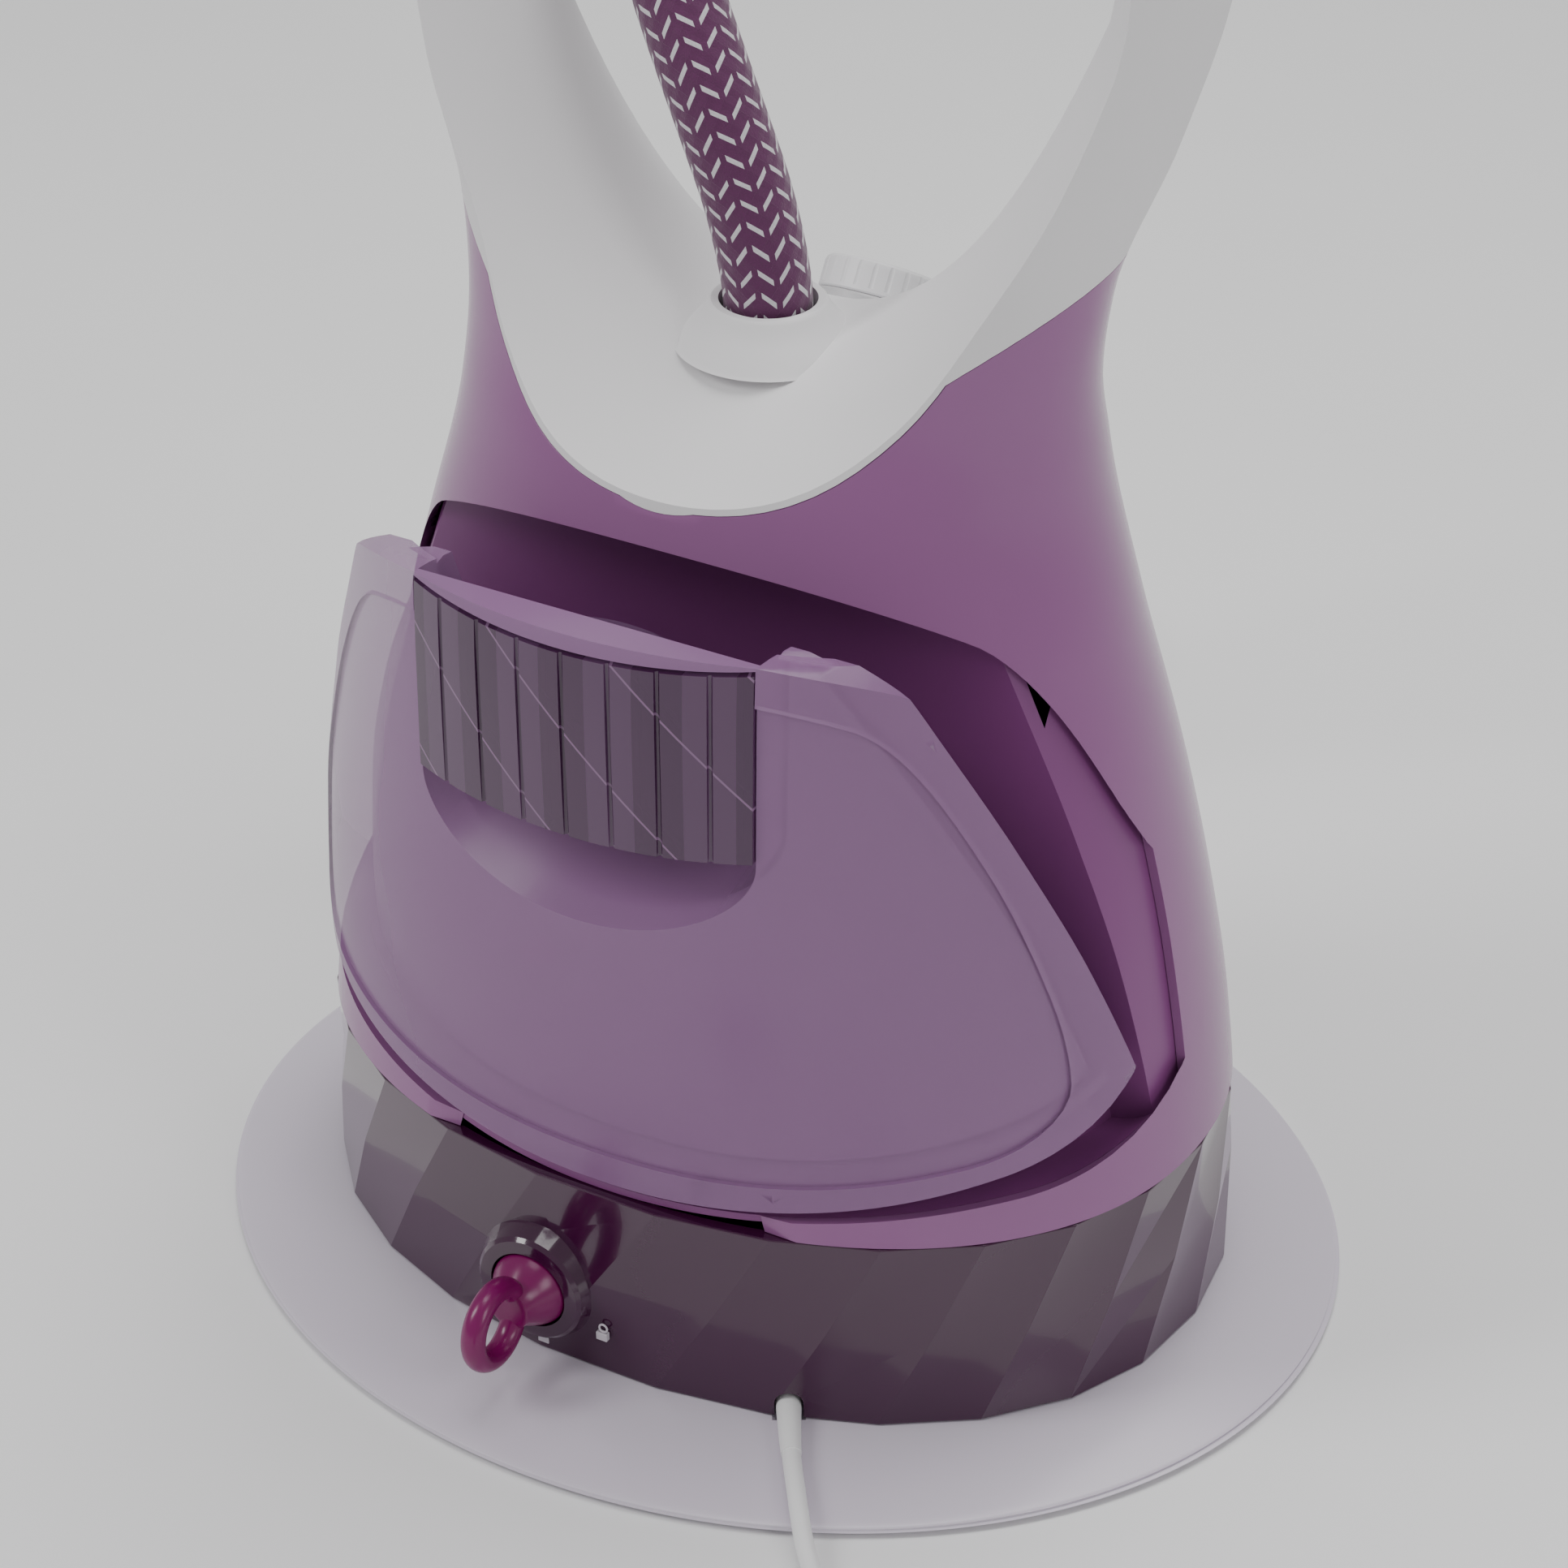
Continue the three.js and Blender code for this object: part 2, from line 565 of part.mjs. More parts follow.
function makeDial() {
  const axis = leaned(DIAL.lean);
  const at = [0, DIAL.y, DIAL.z];
  const r = DIAL.radius;
  const ring = aimed(sleeve(r - 3, r + 0.6, GAP, 4), axis, at, 28);
  add("dial_ring", ring, FINISH.clear);
  const knob = aimed(
    [[0, 4.3], [r, 4.3], [r, DIAL.height - 2], [r - 1.6, DIAL.height], [0, DIAL.height]],
    axis, at, 28,
  ).add(aimed(rod(3.4, -9, 5), axis, at, 12));
  add("steam_dial", knob, FINISH.dial);
  const body = aimed(rod(12, -24, -9.4), axis, at, 18);
  add("dial_switch", body, FINISH.dark);
}

// ---------------------------------------------------------------- water tank
function tankSpace(inset, bottom, slopeIn) {
  const limits = [
    [-230, bottom], [-27 - slopeIn, bottom], [-49 - slopeIn, 268 - slopeIn],
    [-60, 273 - slopeIn], [-90, 284 - slopeIn], [-230, 284 - slopeIn],
  ];
  return openingPrism(inset, -230, 10).intersect(sidePrism(limits, 230));
}

function makeTank() {
  const wall = 2.6;
  const front = bodySolid(0.2, 60, 320);
  const flange = tankSpace(3, 80, 0).intersect(front).subtract(bodySolid(12, 55, 330));
  const body = tankSpace(9, 80, 0).intersect(front);
  const inside = tankSpace(9 + wall, 80, wall).intersect(bodySolid(12 + wall, 50, 330));
  const grip = gripSpace(2).subtract(bodySolid(40, 60, 330));
  const gripInner = gripSpace(0).subtract(bodySolid(37.5, 60, 330));
  const filler = upright(rod(15.2, 60, 110), VALVE.x, VALVE.y, 0, 22);
  const collar = upright(
    sleeve(15.2, 18.5, TANK_FLOOR, TANK_FLOOR + 12), VALVE.x, VALVE.y, 0, 22,
  );
  const ledge = box(-31.5, 31.5, -113.5, -100, 70, 90.2);
  const shell = flange.add(body).subtract(inside.subtract(grip)).subtract(gripInner);
  add("tank_shell", shell.add(collar).subtract(filler).subtract(ledge), FINISH.tank, seated);
}

// The finger hollow in the tank's front, with its rounded lower edge (x, z).
function gripSpace(grow) {
  const half = 57 + grow;
  const low = 184 - grow;
  const outline = [];
  outline.push(new THREE.Vector2(-half, 275 + grow), new THREE.Vector2(-half, 225));
  for (let k = 0; k <= 10; k += 1) {
    const turn = Math.PI + (Math.PI * k) / 10;
    outline.push(new THREE.Vector2(half * Math.cos(turn), 212 + (212 - low) * Math.sin(turn)));
  }
  outline.push(new THREE.Vector2(half, 225), new THREE.Vector2(half, 275 + grow));
  const shape = new THREE.Shape(outline);
  const geometry = new THREE.ExtrudeGeometry(shape, { depth: 180, bevelEnabled: false });
  return solid(geometry.rotateX(Math.PI / 2).translate(0, -20, 0));
}

function makeTankFittings() {
  const cheek = 57 - GAP;
  const band = openingPrism(3.4, -220, 0)
    .intersect(bodySolid(0.2, 200, 320))
    .subtract(bodySolid(4.4, 190, 330))
    .intersect(sidePrism([[-200, 214], [-40, 214], [-40, 273.5], [-200, 273.5]], cheek));
  add("tank_handle", band, FINISH.tank, seated);
  const floor = TANK_FLOOR;
  const cap = upright(
    [[5.2, floor], [14.8, floor], [14.8, floor + 13], [12, floor + 15], [12, floor + 10],
      [9, floor + 10], [9, floor + 17], [3.4, floor + 17], [3.4, floor + 14],
      [5.2, floor + 12], [5.2, floor]],
    VALVE.x, VALVE.y, 0, 22,
  );
  add("valve_cap", cap, FINISH.dark, seated);
  const plunger = upright(
    [[0, floor + 5], [4.6, floor + 5], [4.6, floor + 7.6], [2.2, floor + 9],
      [2.2, floor + 17.3], [5.6, floor + 17.3], [5.6, floor + 19.6], [0, floor + 20.4]],
    VALVE.x, VALVE.y, 0, 16,
  );
  add("valve_plunger", plunger, FINISH.knob, seated);
  const cradle = box(-30, 30, -112.6, -88, 85.8, 89.6).intersect(bodySolid(3.4, 60, 120));
  add("tank_cradle", cradle, FINISH.bay, seated);
}

// ---------------------------------------------------------------- descaling knob and drain
function makeDrain() {
  const out = [0, -1, 0];
  const at = [KNOB.x, KNOB.face, KNOB.z];
  const port = aimed(
    [[9.4, -36], [13.2, -36], [13.2, -16], [14.4, -16], [14.4, -13], [9.4, -13], [9.4, -36]],
    out, at, 18,
  );
  add("drain_port", port, FINISH.dark);
  const plug = aimed(
    [[0, -30], [4.8, -30], [4.8, -25], [8.8, -25], [8.8, -2], [4.8, -2], [4.8, 3], [0, 3]],
    out, at, 20,
  );
  add("drain_plug", plug, FINISH.white);
  add("drain_seal", ringAround(6.6, 1.4, out, [KNOB.x, KNOB.face + 27.5, KNOB.z]), FINISH.rubber);
  const skirt = aimed(
    [[0, -1.6], [12.8, -1.6], [13, 0.4], [11.6, 4], [8.6, 8.6], [7, 12.6], [0, 13.4]],
    out, at, 20,
  ).subtract(aimed(rod(5.2, -4, 3.4), out, at, 18));
  const loop = ringAround(12, 3.6, [1, 0, 0], [KNOB.x, KNOB.face - 21, KNOB.z], 18);
  add("decalc_knob", skirt.add(loop), FINISH.knob);
}

// ---------------------------------------------------------------- inside
function makeInside() {
  const { x, y, radius, bottom, top } = BOILER;
  add("boiler", upright(
    [[0, bottom], [radius - 6, bottom], [radius, bottom + 6], [radius, top - 8],
      [radius - 8, top], [0, top]], x, y, 0, 22,
  ), FINISH.aluminium);
  add("heating_element", ringAround(22, 4, [0, 0, 1], [x, y, bottom - 5]), FINISH.steel);
  add("thermostat", upright(rod(8, top + GAP, top + 9), x - 14, y + 10, 0, 16), FINISH.white);
  add("thermal_fuse", box(x + 6, x + 22, y + 8, y + 16, top + GAP, top + 6), FINISH.steel);
  add("water_pump", upright(
    [[0, PUMP.bottom], [PUMP.radius, PUMP.bottom], [PUMP.radius, PUMP.top - 4],
      [PUMP.radius - 5, PUMP.top], [0, PUMP.top]], PUMP.x, PUMP.y, 0, 20,
  ), FINISH.white);
  const pipe = (name, points, r, steps) =>
    add(name, tube(points, r, 6, steps), FINISH.silicone);
  pipe("feed_tube", [
    [VALVE.x, VALVE.y, 61.6], [VALVE.x, VALVE.y, 52], [VALVE.x - 4, VALVE.y + 16, 42],
    [VALVE.x - 8, VALVE.y + 44, 38], [PUMP.x, PUMP.y - PUMP.radius - GAP, 38],
  ], 3.6, 12);
  pipe("boiler_feed_tube", [
    [PUMP.x + PUMP.radius + 0.6, PUMP.y, 44], [PUMP.x + 34, PUMP.y, 44],
    [x - radius - 16, y, 52], [x - radius - 6, y, 54], [x - radius - 0.6, y, 54],
  ], 3.6, 8);
  pipe("steam_tube", [
    [x + 4, y - 12, top + GAP], [x + 4, y - 12, top + 24], [x - 6, y - 18, 180],
    [14, 20, 240], [2, 2, 280], [0, HOSE_HOLE.y, 293], [0, HOSE_HOLE.y, 299.4],
  ], 6, 14);
  pipe("drain_tube", [
    [x, y, bottom - 0.4], [x, y, 25], [x - 2, y - 6, 18.6], [x - 6, y - 18, 17.2], [26, 14, 17.4],
    [10, -20, 18.6], [-8, -50, 25], [-19, -70, 33.5], [KNOB.x, -80, KNOB.z],
    [KNOB.x, KNOB.face + 36.4, KNOB.z],
  ], 3.6, 18);
  add("hose_gland", upright(
    [[0, 299.8], [20, 299.8], [20, 306], [16, 309], [13.6, 311], [13.6, 317.6], [0, 317.6]],
    0, HOSE_HOLE.y, 0, 22,
  ), FINISH.dark);
  add("control_board", box(-46, 6, 96, 98, 30, 84), FINISH.board);
  add("terminal_block", box(74, 100, -52, -36, 14, 20), FINISH.white);
}

// ---------------------------------------------------------------- lead and hose
function makeLead() {
  const relief = aimed(
    [[3.35, -14], [4.6, -14], [4.6, -9.5], [5.6, -9.5], [5.6, -6.5], [4.3, -6.5], [4, 4],
      [3.35, 4], [3.35, -14]], CORD_EXIT.along, CORD_EXIT.at, 14,
  );
  add("cord_relief", relief, FINISH.dial);
  add("power_cord", tube(CORD_ROUTE, CORD_RADIUS, 8, 12), FINISH.white);
  add("inner_lead", tube(INNER_LEAD, CORD_RADIUS, 8, 10), FINISH.white);
  const half = (COIL.across * COIL.pitch) / 2;
  add("cord_coil", upright(
    sleeve(COIL.radius - half, COIL.radius + half, 0.05, COIL.layers * COIL.pitch),
    COIL.x, COIL.y, 0, 22,
  ), FINISH.white);
  add("cord_tail", tube(CORD_TAIL, CORD_RADIUS, 8, 5), FINISH.white);
  makePlug();
  add("steam_hose", tube(HOSE_ROUTE, HOSE_RADIUS, 10, 44), FINISH.hose);
  const { x, y, z, along } = CONNECTOR;
  const cuff = aimed(
    [[0, 0.6], [16.4, 0.6], [17.8, 4], [17.8, 26], [15.6, 30], [15.6, 44], [13.4, 46],
      [13.4, 60], [9, 60], [9, 40], [0, 40]], along, [x, y, z], 18,
  );
  const latchAt = [x + along[0] * 37, y + along[1] * 37, z];
  const latch = box(-5, 5, -4, 4, 14.5, 18.6, Math.atan2(along[1], along[0]), latchAt);
  add("hose_connector", cuff.add(latch), FINISH.dark);
}

function makePlug() {
  const back = [-1, 0, 0];
  const at = [PLUG.x, PLUG.y, PLUG.z];
  const body = aimed(
    [[0, GAP], [4.6, GAP], [5.4, 14], [10, 19], [15, 24], [18.3, 30], [18.3, 46], [17, 48],
      [0, 48]], back, at, 18,
  );
  add("plug_body", body, FINISH.dark);
  [-1, 1].forEach((side) => {
    const root = [PLUG.x - 48 - GAP, PLUG.y + side * 9.5, PLUG.z];
    add(`plug_pin_${side < 0 ? 1 : 2}`, aimed(
      [[0, 0], [2.4, 0], [2.4, 17], [1.4, 19], [0, 19]], back, root, 12,
    ), FINISH.steel);
  });
}

makeFoot();
makeSkirt();
makeHousing();
makeBay();
makeYoke();
makeArmFittings();
makeDial();
makeTank();
makeTankFittings();
makeDrain();
makeInside();
makeLead();

export default part;
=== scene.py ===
"""Looks of a garment steamer's base unit.

The base stands on a lavender foot disc. A glossy purple housing carries a clear tank that
leans out of its bay, and a silver saddle whose two arms hold the garment poles. A braided
steam hose, a descaling knob, a steam dial and the mains lead complete it.

Routes are in metres, +Z up. Shells are drawn in millimetres and handed over in metres.
"""

import json  # noqa: E402
import logging  # noqa: E402
import math  # noqa: E402
from dataclasses import dataclass  # noqa: E402
from enum import Enum  # noqa: E402
from typing import Callable, Iterable, Sequence  # noqa: E402

import bpy  # noqa: E402
import numpy as np  # noqa: E402
from mathutils import Matrix, Vector  # noqa: E402

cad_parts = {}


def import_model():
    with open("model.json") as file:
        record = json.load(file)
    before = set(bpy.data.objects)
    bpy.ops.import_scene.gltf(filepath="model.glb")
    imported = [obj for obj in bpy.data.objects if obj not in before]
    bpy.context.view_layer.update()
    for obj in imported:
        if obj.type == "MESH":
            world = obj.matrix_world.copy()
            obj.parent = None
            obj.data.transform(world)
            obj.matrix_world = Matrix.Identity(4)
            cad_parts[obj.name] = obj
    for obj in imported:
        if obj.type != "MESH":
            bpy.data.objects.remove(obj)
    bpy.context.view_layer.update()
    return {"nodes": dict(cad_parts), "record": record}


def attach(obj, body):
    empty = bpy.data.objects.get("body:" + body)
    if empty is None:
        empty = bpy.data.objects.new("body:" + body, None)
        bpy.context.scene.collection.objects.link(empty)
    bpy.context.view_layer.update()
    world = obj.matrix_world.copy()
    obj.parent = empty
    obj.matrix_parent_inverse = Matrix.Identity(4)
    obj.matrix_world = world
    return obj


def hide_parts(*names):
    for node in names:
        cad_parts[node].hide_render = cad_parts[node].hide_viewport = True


LOG = logging.getLogger("steamer")
MM = 0.001
Place = Callable[[np.ndarray, np.ndarray], np.ndarray]


class Cut(Enum):
    """What a boolean does with its tool."""

    AWAY = "DIFFERENCE"
    JOIN = "UNION"
    KEEP = "INTERSECT"


@dataclass(frozen=True)
class Section:
    """One level of the body: half width, half depth, centre and roundness, in mm."""

    z: float
    a: float
    b: float
    y: float
    n: float


@dataclass(frozen=True)
class Floor:
    """One slice of the saddle: where it lies, its floor and how fast it opens, in mm."""

    y: float
    floor: float
    opening: float


BODY = (
    Section(10, 154, 118, -1, 2.15),
    Section(69, 153, 117, -1, 2.15),
    Section(100, 150, 114.5, -1, 2.15),
    Section(150, 142, 107.5, -1, 2.1),
    Section(200, 130, 98, 0, 2.05),
    Section(250, 116, 87, 0, 2),
    Section(300, 104, 74, 1, 2),
    Section(325, 102, 65, 0, 2),
    Section(355, 105, 60, 1, 2),
    Section(400, 119, 74, 9, 2),
    Section(440, 128, 80, 17, 2),
    Section(480, 132, 80, 22, 2),
    Section(520, 134, 76, 26, 2),
)
SADDLE = (
    Floor(-100, 288, 28),
    Floor(-72, 300, 24),
    Floor(-50, 311, 19.5),
    Floor(-30, 320, 15.8),
    Floor(-7, 326, 13.8),
    Floor(17, 327, 12.5),
    Floor(40, 317, 14),
    Floor(60, 303, 17.5),
    Floor(76, 293, 21),
    Floor(110, 280, 26),
)
SADDLE_POWER = 0.438
ARM_STRAIGHT = 440.0
ARM_TOP = 505.0
GAP = 0.3
SKIRT_TOP = 78.0
DISC_TOP = 10.0
FACETS = 26
OPENING_START = (0.0, 286.0)
OPENING_CURVES = (
    ((40, 286), (72, 277), (92, 264)),
    ((114, 249), (146, 165), (148, 114)),
    ((149, 100), (140, 93), (120, 92)),
    ((95, 89), (48, 81), (0, 81)),
)
OPENING_CENTRE = 172.0
LIP = (-113.0, 86.0)
TANK_TILT = math.radians(14)
HOSE_HOLE_Y = -7.0
HOSE_HOLE_TOP = 337.0
DIAL_AT = (0.0, 60.0, 303.0)
DIAL_LEAN = math.radians(34)
DIAL_RADIUS = 19.5
KNOB_AT = (-22.0, -122.0, 36.0)
CAP_AT = (-50.0, -60.0, 0.0)
WORLD_LIGHT = 0.4
HOSE_ROUTE = (
    (0, -0.007, 0.318), (0, -0.007, 0.329), (-0.0005, -0.007, 0.341),
    (-0.003, -0.007, 0.354), (-0.008, -0.006, 0.369), (-0.015, -0.005, 0.385),
    (-0.025, -0.002, 0.404), (-0.038, 0.005, 0.424), (-0.055, 0.019, 0.445),
    (-0.076, 0.038, 0.462), (-0.101, 0.061, 0.473), (-0.127, 0.085, 0.473),
    (-0.151, 0.109, 0.461), (-0.171, 0.129, 0.438), (-0.184, 0.142, 0.407),
    (-0.190, 0.148, 0.370), (-0.192, 0.150, 0.325), (-0.192, 0.150, 0.265),
    (-0.192, 0.150, 0.200), (-0.192, 0.150, 0.132), (-0.196, 0.157, 0.091),
    (-0.206, 0.173, 0.056), (-0.222, 0.198, 0.030), (-0.242, 0.228, 0.016),
    (-0.259, 0.255, 0.014), (-0.272, 0.285, 0.0138), (-0.277, 0.318, 0.0138),
    (-0.269, 0.358, 0.0138), (-0.246, 0.392, 0.0138), (-0.209, 0.415, 0.0138),
    (-0.166, 0.423, 0.0138), (-0.123, 0.413, 0.0138), (-0.087, 0.388, 0.0138),
    (-0.063, 0.351, 0.0138), (-0.053, 0.308, 0.0139), (-0.056, 0.266, 0.0156),
    (-0.065, 0.240, 0.0176), (-0.072, 0.223, 0.0182),
)
CORD_ROUTE = (
    (0.062, -0.105, 0.0134), (0.064, -0.1085, 0.0134), (0.066, -0.112, 0.0134),
    (0.069, -0.117, 0.013), (0.073, -0.1235, 0.0122), (0.078, -0.131, 0.0112),
    (0.083, -0.138, 0.010), (0.088, -0.145, 0.0085), (0.094, -0.153, 0.0064),
    (0.101, -0.161, 0.0044), (0.109, -0.170, 0.0032), (0.118, -0.178, 0.0031),
    (0.129, -0.186, 0.0031), (0.1475, -0.1992, 0.0031), (0.162, -0.2092, 0.0031),
)
CORD_TAIL = (
    (0.1335, -0.286, 0.0094), (0.121, -0.2863, 0.0104), (0.110, -0.287, 0.0128),
    (0.098, -0.288, 0.0162), (0.088, -0.2885, 0.0182), (0.0815, -0.2886, 0.0188),
)
COIL_CENTRE = (0.146, -0.246)
COIL_RADII = (0.040, 0.034, 0.028, 0.028, 0.034, 0.040)
COIL_TURNS = 6.375
COIL_FLOOR = 0.0031
COIL_PITCH = 0.006
LEAN_AXIS = (0.0, math.sin(DIAL_LEAN), math.cos(DIAL_LEAN))
FRONT = (0.0, -1.0, 0.0)


# ------------------------------------------------------------------ shape arithmetic
def follow(table: Sequence, key: str, field: str, at: float) -> float:
    """Reads a smooth value between the rows of a table.

    Args:
        table: rows in rising order of key.
        key: the field that orders the rows.
        field: the field to read.
        at: where to read it.

    Returns:
        The value, on monotone cubic steps.
    """
    keys = [getattr(row, key) for row in table]
    values = [getattr(row, field) for row in table]
    if at <= keys[0]:
        return values[0]
    if at >= keys[-1]:
        return values[-1]
    i = next(k for k, value in enumerate(keys) if value > at) - 1

    def slope(j: int) -> float:
        """Returns the straight slope after row j."""
        return (values[j + 1] - values[j]) / (keys[j + 1] - keys[j])

    def tangent(j: int) -> float:
        """Works out the smooth slope at a row.

        Args:
            j: the row.

        Returns:
            The slope.
        """
        if j in (0, len(keys) - 1):
            return slope(min(j, len(keys) - 2))
        before, after = slope(j - 1), slope(j)
        if before * after <= 0:
            return 0.0
        return 2 * before * after / (before + after)

    span = keys[i + 1] - keys[i]
    t = (at - keys[i]) / span
    ease = t * t * (3 - 2 * t)
    bend = t * (1 - t) ** 2 * tangent(i) - t * t * (1 - t) * tangent(i + 1)
    return values[i] + ease * (values[i + 1] - values[i]) + span * bend


def smooth_line(points: Sequence[Sequence[float]], per_span: int) -> np.ndarray:
    """Draws a smooth line through points.

    Args:
        points: the points, two or three numbers each.
        per_span: how many steps lie between neighbours.

    Returns:
        The line's points as an array.
    """
    fixed = np.array(points, float)
    ends = np.vstack([2 * fixed[0] - fixed[1], fixed, 2 * fixed[-1] - fixed[-2]])
    line = []
    for i in range(1, len(ends) - 2):
        p, q, r, s = ends[i - 1 : i + 3]
        for t in np.linspace(0, 1, per_span, endpoint=False):
            line.append(
                0.5
                * (
                    2 * q
                    + (r - p) * t
                    + (2 * p - 5 * q + 4 * r - s) * t * t
                    + (3 * q - p - 3 * r + s) * t**3
                )
            )
    line.append(fixed[-1])
    return np.array(line)


def resample(line: np.ndarray, count: int) -> np.ndarray:
    """Spaces a line's points evenly.

    Args:
        line: the points.
        count: how many steps it gets.

    Returns:
        count + 1 points.
    """
    steps = np.linalg.norm(np.diff(line, axis=0), axis=1)
    along = np.concatenate([[0], np.cumsum(steps)])
    at = np.linspace(0, along[-1], count + 1)
    return np.stack([np.interp(at, along, line[:, k]) for k in range(line.shape[1])], 1)


def line_length(line: np.ndarray) -> float:
    """Measures a line.

    Args:
        line: its points.

    Returns:
        Its length in the points' unit.
    """
    return float(np.linalg.norm(np.diff(line, axis=0), axis=1).sum())


def opening_loop(inset: float, count: int) -> np.ndarray:
    """Draws the tank opening's outline.

    Args:
        inset: how far inside the opening it runs, in mm.
        count: how many points it has.

    Returns:
        A closed loop of (x, z), its last point equal to its first.
    """
    half = [np.array(OPENING_START)]
    for first, second, end in np.array(OPENING_CURVES, float):
        start = half[-1]
        for t in np.linspace(0, 1, 25)[1:]:
            s = 1 - t
            half.append(
                s**3 * start + 3 * s * s * t * first + 3 * s * t * t * second + t**3 * end
            )
    right = np.array(half)
    left = right[1:-1][::-1] * [-1, 1]
    line = resample(np.vstack([right, left, right[:1]]), count)
    arm = line - [0, OPENING_CENTRE]
    reach = np.linalg.norm(arm, axis=1, keepdims=True)
    return arm * (reach - inset) / reach + [0, OPENING_CENTRE]


def coil_route() -> np.ndarray:
    """Winds the mains lead's coil, two layers of three turns.

    Returns:
        Its points in metres, from the floor's outer turn to the upper outer turn.
    """
    points = []
    steps = int(COIL_TURNS * 20)
    for k in range(1, steps):
        turns = COIL_TURNS * k / steps
        lap = min(int(turns), len(COIL_RADII) - 1)
        into = min(max((turns - lap - 0.8) / 0.2, 0), 1)
        ease = into * into * (3 - 2 * into)
        after = COIL_RADII[min(lap + 1, len(COIL_RADII) - 1)]
        radius = COIL_RADII[lap] + (after - COIL_RADII[lap]) * ease
        lift = min(max((turns - 2.8) / 0.3, 0), 1)
        angle = math.radians(45) - 2 * math.pi * turns
        points.append(
            (
                COIL_CENTRE[0] + radius * math.cos(angle),
                COIL_CENTRE[1] + radius * math.sin(angle),
                COIL_FLOOR + COIL_PITCH * lift * lift * (3 - 2 * lift),
            )
        )
    return np.array(points)


# ------------------------------------------------------------------ shader writing
class Wire:
    """A value on its way through a shader, written as ordinary arithmetic."""

    def __init__(self, shader: "Shader", socket: bpy.types.NodeSocket) -> None:
        """Starts from what it is given.

        Args:
            shader: the material being written.
            socket: the output that holds the value.
        """
        self.shader = shader
        self.socket = socket

    def _math(self, operation: str, *values: object) -> "Wire":
        """Adds a Math node.

        Args:
            operation: what it does.
            *values: numbers or Wires for its inputs.

        Returns:
            Its result.
        """
        inputs = {index: value for index, value in enumerate(values)}
        made = self.shader.node("ShaderNodeMath", {"operation": operation}, inputs)
        return Wire(self.shader, made.outputs[0])

    def __add__(self, other: object) -> "Wire":
        """Adds."""
        return self._math("ADD", self, other)

    def __sub__(self, other: object) -> "Wire":
        """Subtracts."""
        return self._math("SUBTRACT", self, other)

    def __mul__(self, other: object) -> "Wire":
        """Multiplies."""
        return self._math("MULTIPLY", self, other)

    def __radd__(self, other: object) -> "Wire":
        """Adds to a number."""
        return self._math("ADD", other, self)

    def __rmul__(self, other: object) -> "Wire":
        """Multiplies a number."""
        return self._math("MULTIPLY", other, self)

    def __gt__(self, other: object) -> "Wire":
        """Gives 1 where the value is greater, else 0."""
        return self._math("GREATER_THAN", self, other)

    def __lt__(self, other: object) -> "Wire":
        """Gives 1 where the value is less, else 0."""
        return self._math("LESS_THAN", self, other)

    def part(self) -> "Wire":
        """Returns the fractional part."""
        return self._math("FRACT", self)

    def whole(self) -> "Wire":
        """Returns the value rounded down."""
        return self._math("FLOOR", self)

    def size(self) -> "Wire":
        """Returns the value without its sign."""
        return self._math("ABSOLUTE", self)

    def wave(self) -> "Wire":
        """Returns the sine."""
        return self._math("SINE", self)

    def modulo(self, other: float) -> "Wire":
        """Returns the remainder of a division.

        Args:
            other: the divisor.
        """
        return self._math("FLOORED_MODULO", self, other)


